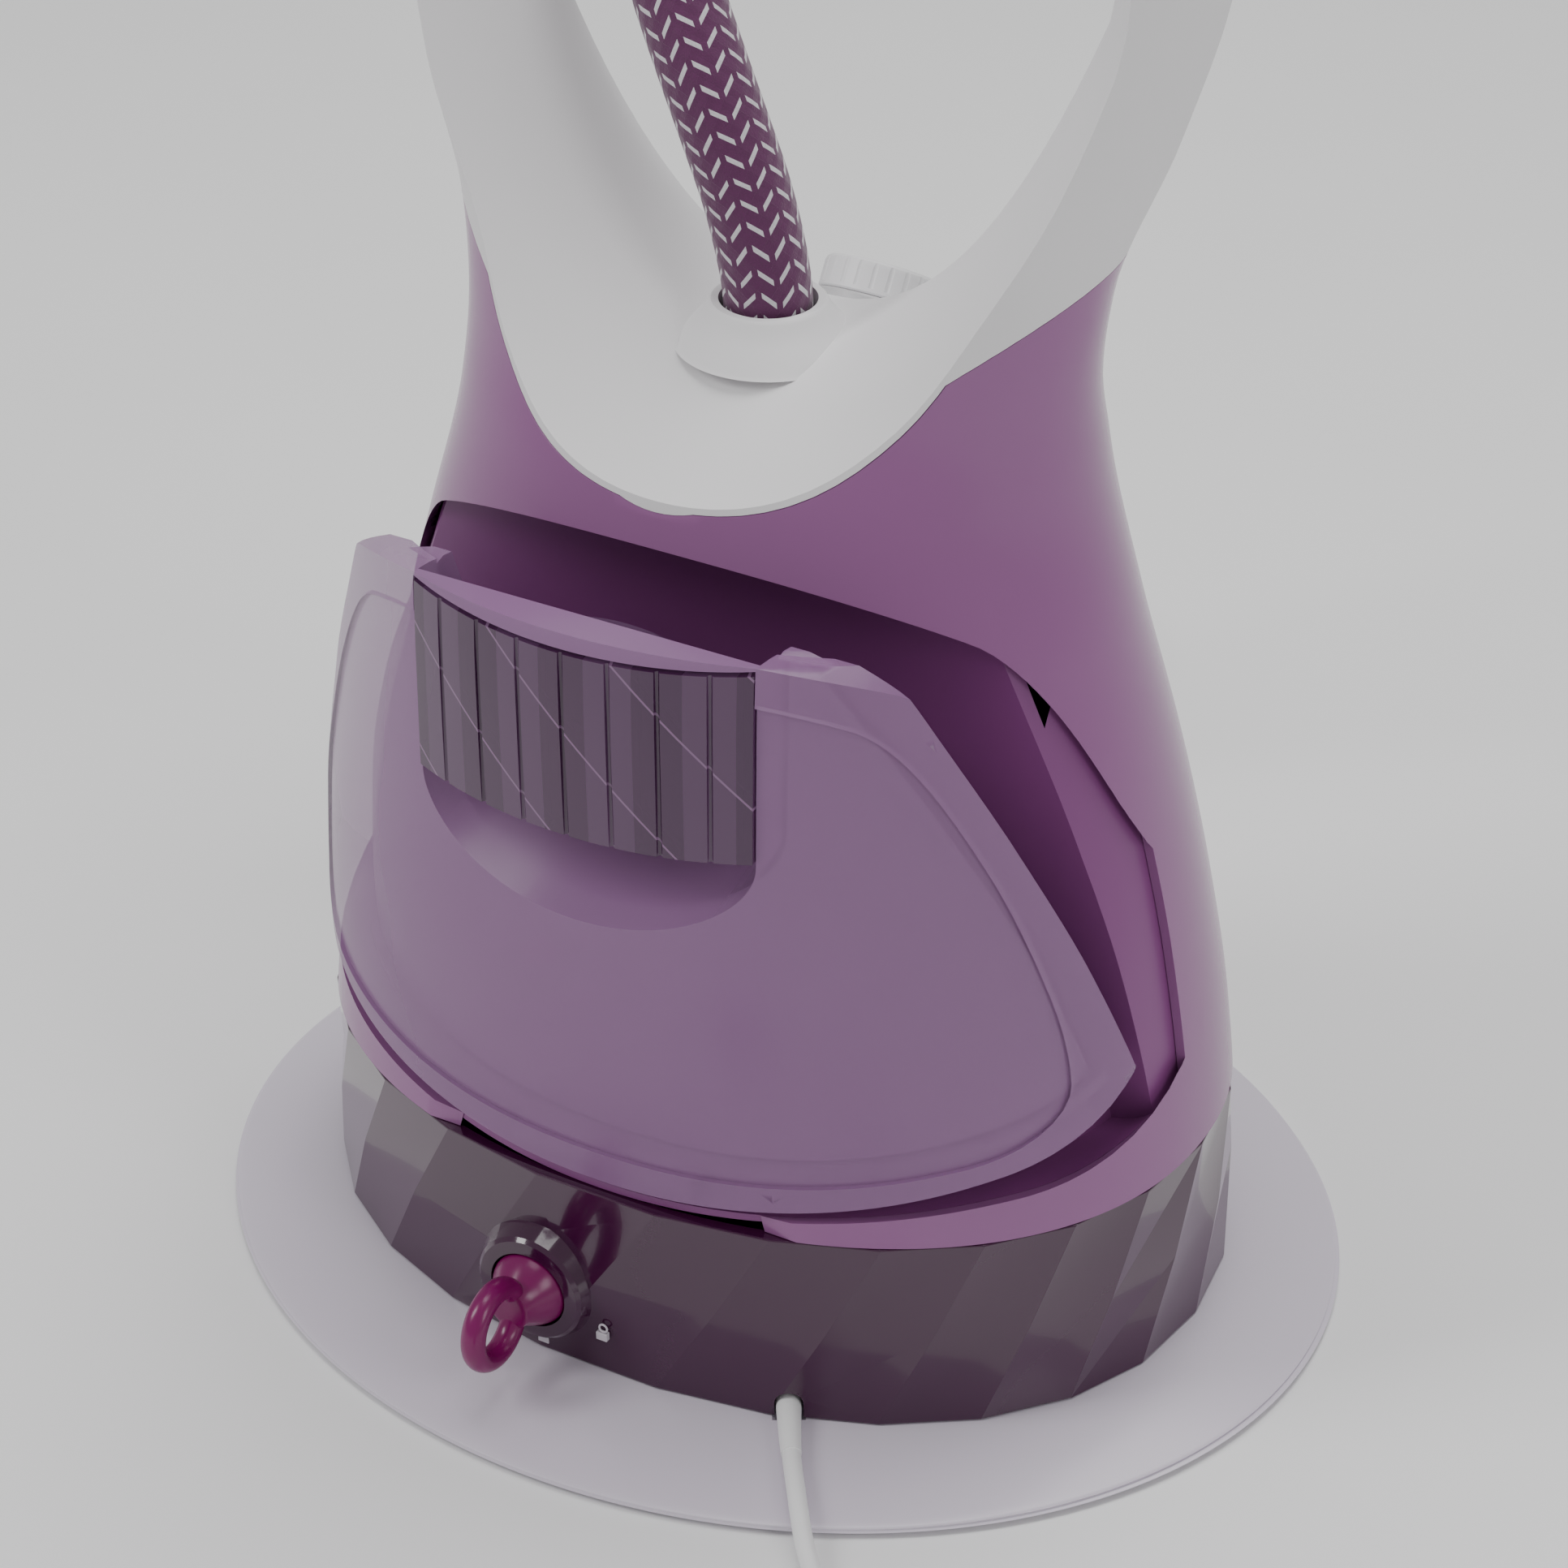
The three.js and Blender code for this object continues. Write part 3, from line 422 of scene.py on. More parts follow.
class Shader:
    """A material being written."""

    def __init__(self, name: str) -> None:
        """Starts from what it is given.

        Args:
            name: the material's name.
        """
        self.material = bpy.data.materials.new(name)
        self.material.use_nodes = True
        self.tree = self.material.node_tree
        self.surface = self.tree.nodes["Principled BSDF"]
        self._coordinates: bpy.types.Node | None = None

    def node(self, kind: str, settings: dict, inputs: dict) -> bpy.types.Node:
        """Adds a node.

        Args:
            kind: the node's type.
            settings: its own properties.
            inputs: a value or a Wire for each socket, by name or number.

        Returns:
            The node.
        """
        made = self.tree.nodes.new(kind)
        for key, value in settings.items():
            setattr(made, key, value)
        for key, value in inputs.items():
            self.feed(made.inputs[key], value)
        return made

    def feed(self, socket: bpy.types.NodeSocket, value: object) -> None:
        """Gives a socket its value or link.

        Args:
            socket: the input.
            value: a number, a colour or a Wire.
        """
        if isinstance(value, Wire):
            self.tree.links.new(value.socket, socket)
        else:
            socket.default_value = value

    def set(self, **values: object) -> None:
        """Sets inputs of the surface, with _ for a space in their names."""
        for key, value in values.items():
            self.feed(self.surface.inputs[key.replace("_", " ")], value)

    def place(self, output: str = "Object") -> Wire:
        """Returns a texture coordinate.

        Args:
            output: which one, Object or UV.
        """
        if self._coordinates is None:
            self._coordinates = self.node("ShaderNodeTexCoord", {}, {})
        return Wire(self, self._coordinates.outputs[output])

    def split(self, vector: Wire) -> tuple[Wire, Wire, Wire]:
        """Splits a vector.

        Args:
            vector: what to split.

        Returns:
            Its three values.
        """
        made = self.node("ShaderNodeSeparateXYZ", {}, {0: vector})
        return tuple(Wire(self, made.outputs[k]) for k in range(3))

    def noise(self, scale: float, detail: float = 3.0) -> Wire:
        """Returns a noise between 0 and 1 on the object's coordinates.

        Args:
            scale: its frequency per metre.
            detail: how many finer layers it has.
        """
        made = self.node(
            "ShaderNodeTexNoise",
            {},
            {"Vector": self.place(), "Scale": scale, "Detail": detail},
        )
        return Wire(self, made.outputs["Fac"])

    def mix(self, amount: object, low: Sequence[float], high: Sequence[float]) -> Wire:
        """Blends two colours.

        Args:
            amount: 0 for low to 1 for high.
            low: a colour or a Wire.
            high: a colour or a Wire.
        """
        made = self.node(
            "ShaderNodeMix", {"data_type": "RGBA"}, {0: amount, 6: low, 7: high}
        )
        return Wire(self, made.outputs[2])

    def bump(self, height: Wire, strength: float, distance: float) -> None:
        """Raises the surface by a height.

        Args:
            height: the height, from 0 to 1.
            strength: how much of it shows.
            distance: what a height of 1 is, in metres.
        """
        made = self.node(
            "ShaderNodeBump",
            {},
            {"Strength": strength, "Distance": distance, "Height": height},
        )
        self.set(Normal=Wire(self, made.outputs[0]))


def colour(code: int) -> tuple[float, float, float, float]:
    """Turns a screen colour into the linear one that shaders take.

    Args:
        code: the colour as 0xRRGGBB.

    Returns:
        Linear red, green, blue and 1.
    """
    parts = [((code >> shift) & 255) / 255 for shift in (16, 8, 0)]
    linear = [c / 12.92 if c <= 0.04045 else ((c + 0.055) / 1.055) ** 2.4 for c in parts]
    return (*linear, 1.0)


# ------------------------------------------------------------------ finishes
@dataclass(frozen=True)
class Moulded:
    """A moulded plastic or rubber: two close shades, a fine grain and a gloss."""

    low: int
    high: int
    rough: float
    coat: float
    grain: float

    def paint(self, shader: Shader) -> None:
        """Writes the finish.

        Args:
            shader: the material being written.
        """
        drift = shader.noise(9.0, 2.0)
        fine = shader.noise(900.0, 3.0)
        shader.set(
            Base_Color=shader.mix(drift, colour(self.low), colour(self.high)),
            Roughness=self.rough + (drift - 0.5) * 0.06 + (fine - 0.5) * 0.04,
            Coat_Weight=self.coat,
            Coat_Roughness=0.04,
        )
        shader.bump(fine, self.grain, 0.0004)


@dataclass(frozen=True)
class Flaked:
    """A silver paint with fine flakes under a thin lacquer."""

    low: int
    high: int
    metal: float

    def paint(self, shader: Shader) -> None:
        """Writes the finish.

        Args:
            shader: the material being written.
        """
        drift = shader.noise(7.0, 2.0)
        flake = shader.noise(2600.0, 2.0)
        shader.set(
            Base_Color=shader.mix(flake, colour(self.low), colour(self.high)),
            Metallic=self.metal,
            Roughness=0.34 + (drift - 0.5) * 0.08,
            Coat_Weight=0.15,
        )
        shader.bump(flake, 0.08, 0.0003)


@dataclass(frozen=True)
class Tinted:
    """A clear tinted plastic; given a highlight strength, alternate panels are painted lighter as
    lit facets and thin pale slanted lines are painted highlights on the facet edges.
    """

    low: int
    high: int
    alpha: float
    # Strength of the painted highlights: 0 paints neither the lit panels nor the edge highlights.
    facet_highlight: float = 0.0

    def paint(self, shader: Shader) -> None:
        """Writes the finish.

        Args:
            shader: the material being written.
        """
        drift = shader.noise(14.0, 2.0)
        body = shader.mix(drift, colour(self.low), colour(self.high))
        if self.facet_highlight:
            x, _, z = shader.split(shader.place())
            edge_highlight_phase = ((x + z) * 24.0).part()
            # Painted highlight: every other panel, about 15 mm wide, is mixed towards a lighter
            # purple as a lit facet.
            panel = (x * 67.0 + 0.5).whole().modulo(2.0)
            body = shader.mix(panel * 0.35, body, colour(0x6F4C72))
            # Painted highlight: thin pale slanted lines along the facet edges, where light catches
            # them.
            body = shader.mix((edge_highlight_phase < 0.022) * self.facet_highlight, body, colour(0x8E6A90))
        shader.set(
            Base_Color=body,
            Roughness=0.07 + drift * 0.03,
            Alpha=self.alpha + (drift - 0.5) * 0.04,
            Coat_Weight=0.45,
        )


@dataclass(frozen=True)
class Brushed:
    """A brushed or turned metal."""

    low: int
    high: int
    rough: float

    def paint(self, shader: Shader) -> None:
        """Writes the finish.

        Args:
            shader: the material being written.
        """
        x, _, z = shader.split(shader.place())
        line = (x * 3100.0 + z * 2700.0).wave() * 0.5 + 0.5
        shader.set(
            Base_Color=shader.mix(line, colour(self.low), colour(self.high)),
            Metallic=1.0,
            Roughness=self.rough + line * 0.08,
        )
        shader.bump(line, 0.05, 0.0002)


@dataclass(frozen=True)
class Cast:
    """A cast metal with a coarse skin."""

    low: int
    high: int

    def paint(self, shader: Shader) -> None:
        """Writes the finish.

        Args:
            shader: the material being written.
        """
        skin = shader.noise(420.0, 4.0)
        shader.set(
            Base_Color=shader.mix(skin, colour(self.low), colour(self.high)),
            Metallic=1.0,
            Roughness=0.4 + skin * 0.15,
        )
        shader.bump(skin, 0.3, 0.0006)


@dataclass(frozen=True)
class Braid:
    """A woven sleeve of dark yarn with pale tracer threads."""

    lap: float
    starts: float

    def paint(self, shader: Shader) -> None:
        """Writes the finish along the hose's own UV map.

        Args:
            shader: the material being written.
        """
        around, along, _ = shader.split(shader.place("UV"))
        length = line_length(smooth_line(HOSE_ROUTE, 8))
        lap = along * (length / self.lap)
        wrap = around * self.starts
        rising, falling = lap + wrap, lap - wrap
        weave = (rising.part() - 0.5).size() + (falling.part() - 0.5).size()
        over = ((rising.whole() + falling.whole()).modulo(2.0)) > 0.5
        column = wrap.whole().modulo(2.0)
        slant = (lap + (wrap.part() - 0.5) * (column * 2.0 - 1.0) * 0.8).part()
        tick = ((slant - 0.5).size() < 0.13) * ((wrap.part() - 0.5).size() < 0.34)
        yarn = shader.noise(2200.0, 2.0)
        ground = shader.mix(yarn, colour(0x470F3E), colour(0x621D57))
        thread = shader.mix(yarn, colour(0xB9B4BB), colour(0xE2DFE3))
        shader.set(
            Base_Color=shader.mix(tick, ground, thread),
            Roughness=0.72 + (yarn - 0.5) * 0.2,
            Sheen_Weight=0.35,
        )
        shader.bump(weave * 0.6 + over * 0.2 + yarn * 0.3, 0.75, 0.0007)


class Finish(Enum):
    """The finishes. A slot of the record carries the same name in small letters."""

    PURPLE = Moulded(0x3B0C34, 0x45123D, 0.15, 0.6, 0.03)
    FACET = Moulded(0x360A2F, 0x41103A, 0.13, 0.6, 0.03)
    BAY = Moulded(0x330A2E, 0x3D0E37, 0.26, 0.3, 0.08)
    LAVENDER = Moulded(0xA596AE, 0xB0A2B9, 0.3, 0.25, 0.08)
    SILVER = Flaked(0xA3A1A5, 0xC4C2C6, 0.55)
    TANK = Tinted(0x4E2350, 0x5E2F5D, 0.72)
    # The handle's last value is the strength of its painted facet and edge highlights.
    HANDLE = Tinted(0x3E1640, 0x4A2049, 0.94, 0.8)
    CLEAR = Tinted(0xE2E0E4, 0xEEECF0, 0.5)
    KNOB = Moulded(0x30021C, 0x3B0724, 0.08, 0.8, 0.02)
    DIAL = Moulded(0xC3C1C5, 0xD2D0D4, 0.36, 0.1, 0.12)
    DARK = Moulded(0x1E1B21, 0x29252C, 0.5, 0.0, 0.2)
    RUBBER = Moulded(0x161618, 0x202022, 0.85, 0.0, 0.35)
    WHITE = Moulded(0xDCDCDC, 0xE8E8E8, 0.42, 0.1, 0.12)
    PALE = Moulded(0xC9C2CC, 0xD8D2DA, 0.5, 0.0, 0.05)
    SILICONE = Moulded(0xD4CFC6, 0xE2DED6, 0.5, 0.0, 0.1)
    BOARD = Moulded(0x245A31, 0x2F6B3C, 0.5, 0.1, 0.2)
    STEEL = Brushed(0xA4A8AC, 0xC3C6CA, 0.26)
    BRASS = Brushed(0xA6843F, 0xC09B55, 0.3)
    ALUMINIUM = Cast(0x8A8D92, 0xA8ABB0)
    BRAID = Braid(0.0066, 14.0)
    FLOOR = Moulded(0xF8F8F8, 0xFAFAFA, 0.6, 0.0, 0.0)

    def material(self) -> bpy.types.Material:
        """Returns the finish's material, made when it is first asked for."""
        name = self.name.lower()
        made = bpy.data.materials.get(name)
        if made is None:
            shader = Shader(name)
            self.value.paint(shader)
            made = shader.material
        return made


# ------------------------------------------------------------------ modelling
class Modeller:
    """Adds and shapes pieces in mm, and hands them over in metres."""

    @staticmethod
    def clear() -> None:
        """Deselects everything."""
        if bpy.context.object and bpy.context.object.mode != "OBJECT":
            bpy.ops.object.mode_set(mode="OBJECT")
        bpy.ops.object.select_all(action="DESELECT")

    def hold(self, piece: bpy.types.Object) -> None:
        """Makes a piece the only selected and the active one.

        Args:
            piece: the piece.
        """
        self.clear()
        piece.select_set(True)
        bpy.context.view_layer.objects.active = piece

    def tidy(self, piece: bpy.types.Object) -> bpy.types.Object:
        """Merges a piece's doubles, closes it and turns its faces outwards.

        Args:
            piece: the piece.

        Returns:
            The piece.
        """
        self.hold(piece)
        bpy.ops.object.mode_set(mode="EDIT")
        bpy.ops.mesh.select_mode(type="VERT")
        bpy.ops.mesh.select_all(action="SELECT")
        bpy.ops.mesh.remove_doubles(threshold=0.0005)
        bpy.ops.mesh.select_all(action="DESELECT")
        bpy.ops.mesh.select_non_manifold()
        bpy.ops.mesh.fill_holes(sides=0)
        bpy.ops.mesh.select_all(action="SELECT")
        bpy.ops.mesh.normals_make_consistent(inside=False)
        bpy.ops.object.mode_set(mode="OBJECT")
        return piece

    def laid(self, name: str, around: int, along: int, place: Place) -> bpy.types.Object:
        """Adds a grid, lays it on a surface and closes it.

        Args:
            name: the piece's name.
            around: steps in the first direction.
            along: steps in the second direction.
            place: gives points in mm for two arrays from 0 to 1.

        Returns:
            The closed piece.
        """
        self.clear()
        bpy.ops.mesh.primitive_grid_add(
            x_subdivisions=around, y_subdivisions=along, size=2, calc_uvs=True
        )
        piece = bpy.context.object
        piece.name = piece.data.name = name
        flat = np.empty(len(piece.data.vertices) * 3)
        piece.data.vertices.foreach_get("co", flat)
        flat = flat.reshape(-1, 3)
        spots = place((flat[:, 0] + 1) / 2, (flat[:, 1] + 1) / 2)
        piece.data.vertices.foreach_set("co", spots.ravel())
        piece.data.update()
        return self.tidy(piece)

    def turned(
        self,
        name: str,
        profile: Sequence[tuple[float, float]],
        axis: Sequence[float] = (0, 0, 1),
        at: Sequence[float] = (0, 0, 0),
        around: int = 72,
    ) -> bpy.types.Object:
        """Draws a disc up a profile, one extrusion and one resize for each corner.

        Args:
            name: the piece's name.
            profile: radius and height of each corner, closed by flat ends.
            axis: the way the heights run.
            at: where height 0 is.
            around: steps round the axis.

        Returns:
            The closed piece.
        """
        corners = [corner for corner in profile if corner[0] > 0]
        up, foot = Vector(axis).normalized(), Vector(at)
        self.clear()
        bpy.ops.mesh.primitive_circle_add(
            vertices=around,
            radius=corners[0][0],
            fill_type="NGON",
            location=foot + up * corners[0][1],
            rotation=Vector((0, 0, 1)).rotation_difference(up).to_euler(),
        )
        piece = bpy.context.object
        piece.name = piece.data.name = name
        bpy.ops.object.transform_apply(location=True, rotation=True, scale=True)
        bpy.ops.object.mode_set(mode="EDIT")
        bpy.ops.mesh.select_all(action="SELECT")
        for (before, low), (radius, high) in zip(corners, corners[1:]):
            bpy.ops.mesh.extrude_region_move(
                TRANSFORM_OT_translate={"value": up * (high - low)}
            )
            if radius != before:
                bpy.ops.transform.resize(
                    value=(radius / before,) * 3, center_override=foot + up * high
                )
        bpy.ops.object.mode_set(mode="OBJECT")
        return self.tidy(piece)

    def hooped(
        self,
        name: str,
        section: Sequence[tuple[float, float]],
        axis: Sequence[float] = (0, 0, 1),
        at: Sequence[float] = (0, 0, 0),
        around: int = 72,
    ) -> bpy.types.Object:
        """Lays a grid round an axis as a ring, which a drawn disc can't be.

        Args:
            name: the piece's name.
            section: radius and height of each corner, the last equal to the first.
            axis: the way the heights run.
            at: where height 0 is.
            around: steps round the axis.

        Returns:
            The closed piece.
        """
        line = np.array(section, float)
        turn = Vector((0, 0, 1)).rotation_difference(Vector(axis)).to_matrix()
        matrix = np.array(turn)

        def place(u: np.ndarray, v: np.ndarray) -> np.ndarray:
            """Lays the grid's points on the surface.

            Args:
                u: how far round each point is, from 0 to 1.
                v: how far along each point is, from 0 to 1.

            Returns:
                The points in mm.
            """
            index = np.round(v * (len(line) - 1)).astype(int)
            radius, height = line[index, 0], line[index, 1]
            angle = 2 * np.pi * u
            spot = np.stack([radius * np.cos(angle), radius * np.sin(angle), height], 1)
            return spot @ matrix.T + np.array(at, float)

        return self.laid(name, around, len(line) - 1, place)

    def repeated(
        self, piece: bpy.types.Object, moves: Sequence[Matrix]
    ) -> bpy.types.Object:
        """Copies a piece, each copy with its own mesh, and joins the copies.

        Args:
            piece: the piece, which becomes the first of them.
            moves: where each copy goes from the piece's place.

        Returns:
            The joined piece.
        """
        copies = []
        for move in moves[1:]:
            twin = piece.copy()
            twin.data = piece.data.copy()
            twin.data.transform(move)
            bpy.context.collection.objects.link(twin)
            copies.append(twin)
        piece.data.transform(moves[0])
        self.hold(piece)
        for twin in copies:
            twin.select_set(True)
        bpy.ops.object.join()
        return piece

    def tube(
        self, name: str, line: np.ndarray, radius: float, around: int
    ) -> bpy.types.Object:
        """Sweeps a circle along a line without twisting it.

        Args:
            name: the piece's name.
            line: the centre line in mm.
            radius: the tube's radius in mm.
            around: steps round it.

        Returns:
            The closed piece.
        """
        heading = np.gradient(line, axis=0)
        heading /= np.linalg.norm(heading, axis=1, keepdims=True)
        side = np.empty_like(line)
        side[0] = np.cross(heading[0], [0.3, 0.9, 0.1])
        for k in range(1, len(line)):
            side[k] = side[k - 1] - heading[k] * (side[k - 1] @ heading[k])
            side[k] /= np.linalg.norm(side[k])
        side[0] /= np.linalg.norm(side[0])
        other = np.cross(heading, side)

        def place(u: np.ndarray, v: np.ndarray) -> np.ndarray:
            """Lays the grid's points on the surface.

            Args:
                u: how far round each point is, from 0 to 1.
                v: how far along each point is, from 0 to 1.

            Returns:
                The points in mm.
            """
            index = np.round(v * (len(line) - 1)).astype(int)
            angle = 2 * np.pi * u[:, None]
            reach = np.cos(angle) * side[index] + np.sin(angle) * other[index]
            return line[index] + radius * reach

        return self.laid(name, around, len(line) - 1, place)

    def block(
        self, name: str, low: Sequence[float], high: Sequence[float], round_: float = 0.0
    ) -> bpy.types.Object:
        """Adds a block between two corners, its edges rounded.

        Args:
            name: the piece's name.
            low: its lowest corner in mm.
            high: its highest corner in mm.
            round_: the edges' radius in mm.

        Returns:
            The block.
        """
        self.clear()
        middle = [(a + b) / 2 for a, b in zip(low, high)]
        bpy.ops.mesh.primitive_cube_add(size=1, location=middle)
        piece = bpy.context.object
        piece.name = piece.data.name = name
        piece.scale = [b - a for a, b in zip(low, high)]
        bpy.ops.object.transform_apply(location=True, rotation=True, scale=True)
        if round_:
            self.rounded(piece, round_, 3)
        return piece

    def rounded(self, piece: bpy.types.Object, width: float, steps: int) -> None:
        """Bevels a piece's sharp edges.

        Args:
            piece: the piece.
            width: the bevel's width in mm.
            steps: its segments.
        """
        bevel = piece.modifiers.new("round", "BEVEL")
        bevel.width = width
        bevel.segments = steps
        bevel.limit_method = "ANGLE"
        bevel.angle_limit = math.radians(40)
        self.hold(piece)
        bpy.ops.object.modifier_apply(modifier=bevel.name)

    def cut(
        self, piece: bpy.types.Object, tool: bpy.types.Object, how: Cut = Cut.AWAY
    ) -> bpy.types.Object:
        """Cuts a piece with a tool, or joins them, and removes the tool.

        Args:
            piece: the piece.
            tool: the other solid.
            how: what the tool does.

        Returns:
            The piece.
        """
        change = piece.modifiers.new("cut", "BOOLEAN")
        change.operation = how.value
        change.object = tool
        change.solver = "MANIFOLD"
        self.hold(piece)
        bpy.ops.object.modifier_apply(modifier=change.name)
        bpy.data.objects.remove(tool)
        return piece

    def finish(
        self,
        piece: bpy.types.Object,
        look: Finish,
        body: str = "base",
        nodes: Iterable[str] = (),
        slot: str | None = None,
        sharp: float = 32.0,
    ) -> bpy.types.Object:
        """Shades a piece, gives it its material and hands it over in metres.

        Args:
            piece: the piece, in mm.
            look: the finish.
            body: the body that it rides on.
            nodes: the CAD nodes that it stands for.
            slot: the record's material slot for the piece; not used.
            sharp: edges sharper than this many degrees stay sharp.

        Returns:
            The piece.
        """
        piece.data.transform(Matrix.Scale(MM, 4))
        self.hold(piece)
        bpy.ops.object.shade_smooth_by_angle(angle=math.radians(sharp))
        even = piece.modifiers.new("even", "WEIGHTED_NORMAL")
        even.keep_sharp = True
        bpy.ops.object.modifier_apply(modifier=even.name)
        piece.data.materials.clear()
        piece.data.materials.append(look.material())
        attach(piece, body)
        for node in nodes:
            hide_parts(node)
        LOG.info("%s: %d faces, %s", piece.name, len(piece.data.polygons), look.name)
        return piece


class Shapes:
    """The solids that the shells are cut from."""

    def __init__(self, modeller: Modeller) -> None:
        """Starts from what it is given.

        Args:
            modeller: the modeller that makes the solids.
        """
        self.make = modeller

    @staticmethod
    def section(z: float) -> tuple[float, float, float, float]:
        """Reads the body's section.

        Args:
            z: the height in mm.

        Returns:
            Half width, half depth, centre in y and roundness.
        """
        return tuple(follow(BODY, "z", field, z) for field in ("a", "b", "y", "n"))

    def body(
        self, inset: float, low: float, high: float, around: int = 168, step: float = 6
    ) -> bpy.types.Object:
        """Makes the outer body, drawn in by an inset.

        Args:
            inset: how far, in mm.
            low: its lowest height.
            high: its highest height.
            around: steps round it.
            step: the height between levels.

        Returns:
            A closed solid.
        """
        levels = max(3, round((high - low) / step))
        heights = np.linspace(low, high, levels + 1)
        table = np.array([self.section(z) for z in heights])

        def place(u: np.ndarray, v: np.ndarray) -> np.ndarray:
            """Lays the grid's points on the surface.

            Args:
                u: how far round each point is, from 0 to 1.
                v: how far along each point is, from 0 to 1.

            Returns:
                The points in mm.
            """
            index = np.round(v * levels).astype(int)
            a, b, y, n = table[index].T
            cosine, sine = np.cos(2 * np.pi * u), np.sin(2 * np.pi * u)
            return np.stack(
                [
                    (a - inset) * np.sign(cosine) * np.abs(cosine) ** (2 / n),
                    y + (b - inset) * np.sign(sine) * np.abs(sine) ** (2 / n),
                    heights[index],
                ],
                1,
            )

        return self.make.laid("shell_space", around, levels, place)

    def saddle(self, wider: float) -> bpy.types.Object:
        """Makes the space over the saddle and between the arms.

        Args:
            wider: how far it grows into the material, in mm.

        Returns:
            A closed solid.
        """
        rises = np.linspace(0, 1, 27) ** 2.6 * 150
        slices = np.linspace(-100, 125, 61)
        count = 2 * (len(rises) + 2)

        def loop(y: float) -> np.ndarray:
            """Draws the space's outline at one slice.

            Args:
                y: where the slice is.

            Returns:
                The outline's points in mm.
            """
            floor = follow(SADDLE, "y", "floor", y) - wider
            opening = follow(SADDLE, "y", "opening", y)
            heights = np.concatenate([floor + rises, [floor + 190, 640]])
            bend = np.minimum(heights, ARM_STRAIGHT)
            half = opening * np.maximum(bend - floor, 0) ** SADDLE_POWER + wider
            half[0] = 0.02 if wider == 0 else wider
            half += 0.08 * np.maximum(heights - ARM_STRAIGHT, 0)
            right = np.stack([half, np.full(len(half), y), heights], 1)
            left = right[::-1] * [-1, 1, 1]
            return np.vstack([right, left, right[:1]])

        rows = np.array([loop(y) for y in slices])

        def place(u: np.ndarray, v: np.ndarray) -> np.ndarray:
            """Lays the grid's points on the surface.

            Args:
                u: how far round each point is, from 0 to 1.
                v: how far along each point is, from 0 to 1.

            Returns:
                The points in mm.
            """
            ring = np.round(u * count).astype(int)
            row = np.round(v * (len(slices) - 1)).astype(int)
            return rows[row, ring]

        return self.make.laid("saddle", count, len(slices) - 1, place)

    def opening(self, inset: float, front: float = -220, back: float = 0) -> bpy.types.Object:
        """Makes the tank opening's prism.

        Args:
            inset: how far inside the opening it runs, in mm.
            front: where it starts in y.
            back: where it ends in y.

        Returns:
            A closed solid.
        """
        count = 200
        line = opening_loop(inset, count)

        def place(u: np.ndarray, v: np.ndarray) -> np.ndarray:
            """Lays the grid's points on the surface.

            Args:
                u: how far round each point is, from 0 to 1.
                v: how far along each point is, from 0 to 1.

            Returns:
                The points in mm.
            """
            index = np.round(u * count).astype(int)
            y = front + (back - front) * v
            return np.stack([line[index, 0], y, line[index, 1]], 1)

        return self.make.laid("bay_space", count, 1, place)

    def side_prism(
        self, points: Sequence[tuple[float, float]], half: float
    ) -> bpy.types.Object:
        """Makes a prism along x.

        Args:
            points: its corners as (y, z).
            half: half its width in x.

        Returns:
            A closed solid.
        """
        ring = np.array([*points, points[0]], float)
        count = len(points)

        def place(u: np.ndarray, v: np.ndarray) -> np.ndarray:
            """Lays the grid's points on the surface.

            Args:
                u: how far round each point is, from 0 to 1.
                v: how far along each point is, from 0 to 1.

            Returns:
                The points in mm.
            """
            index = np.round(u * count).astype(int)
            x = -half + 2 * half * v
            return np.stack([x, ring[index, 0], ring[index, 1]], 1)

        return self.make.laid("prism", count, 1, place)

    def seam(self, lift: float, above: bool) -> bpy.types.Object:
        """Makes the space above or below the seam of the silver saddle.

        Args:
            lift: how far it is moved up, in mm.
            above: whether it is the space above.

        Returns:
            A closed solid.
        """
        line = [
            (y, 368 + lift - 0.0097 * (y - 12) ** 2) for y in np.linspace(-108, 132, 49)
        ]
        edge = 700 if above else -100
        return self.side_prism([*line, (132, edge), (-108, edge)], 260)


# ------------------------------------------------------------------ sub-assemblies
@dataclass
class Assembly:
    """What each sub-assembly is given: the modeller and the shells' spaces. Sizes are in mm."""

    make: Modeller
    shapes: Shapes


@dataclass
class FootPlate(Assembly):
    """The lavender foot disc with the groove that the lead leaves by."""

    groove: float = 6.4
    lead_at: tuple[float, float, float] = (62.8, -106.4, 13.4)


    def build(self) -> None:
        """Makes the foot disc."""
        profile = smooth_line(
            (
                (118, 2), (150, 2), (189, 2), (190, 3), (189.4, 4.2), (176, 7.4),
                (162, 9.4), (150, 10), (118, 10),
            ),
            5,
        )
        depth = {118: 84, 150: 115, 189: 164.6, 190: 165.6, 189.4: 165, 176: 148, 162: 130}
        widths = sorted(depth)
        profile = np.vstack([profile, profile[:1]])

        def place(u: np.ndarray, v: np.ndarray) -> np.ndarray:
            """Lays the grid's points on the surface.

            Args:
                u: how far round each point is, from 0 to 1.
                v: how far along each point is, from 0 to 1.

            Returns:
                The points in mm.
            """
            index = np.round(v * (len(profile) - 1)).astype(int)
            width = profile[index, 0]
            deep = np.interp(width, widths, [depth[w] for w in widths])
            angle = 2 * np.pi * u
            return np.stack(
                [width * np.cos(angle), deep * np.sin(angle), profile[index, 1]], 1
            )

        disc = self.make.laid("foot_plate", 256, len(profile) - 1, place)
        groove = self.make.turned(
            "groove", ((0, -18), (self.groove, -18), (self.groove, 5.2), (0, 5.2)),
            (0.5, -0.866, 0), self.lead_at, 32,
        )
        self.make.cut(disc, groove)
        self.make.finish(disc, Finish.LAVENDER, nodes=["foot_disc"], slot="lavender", sharp=50)


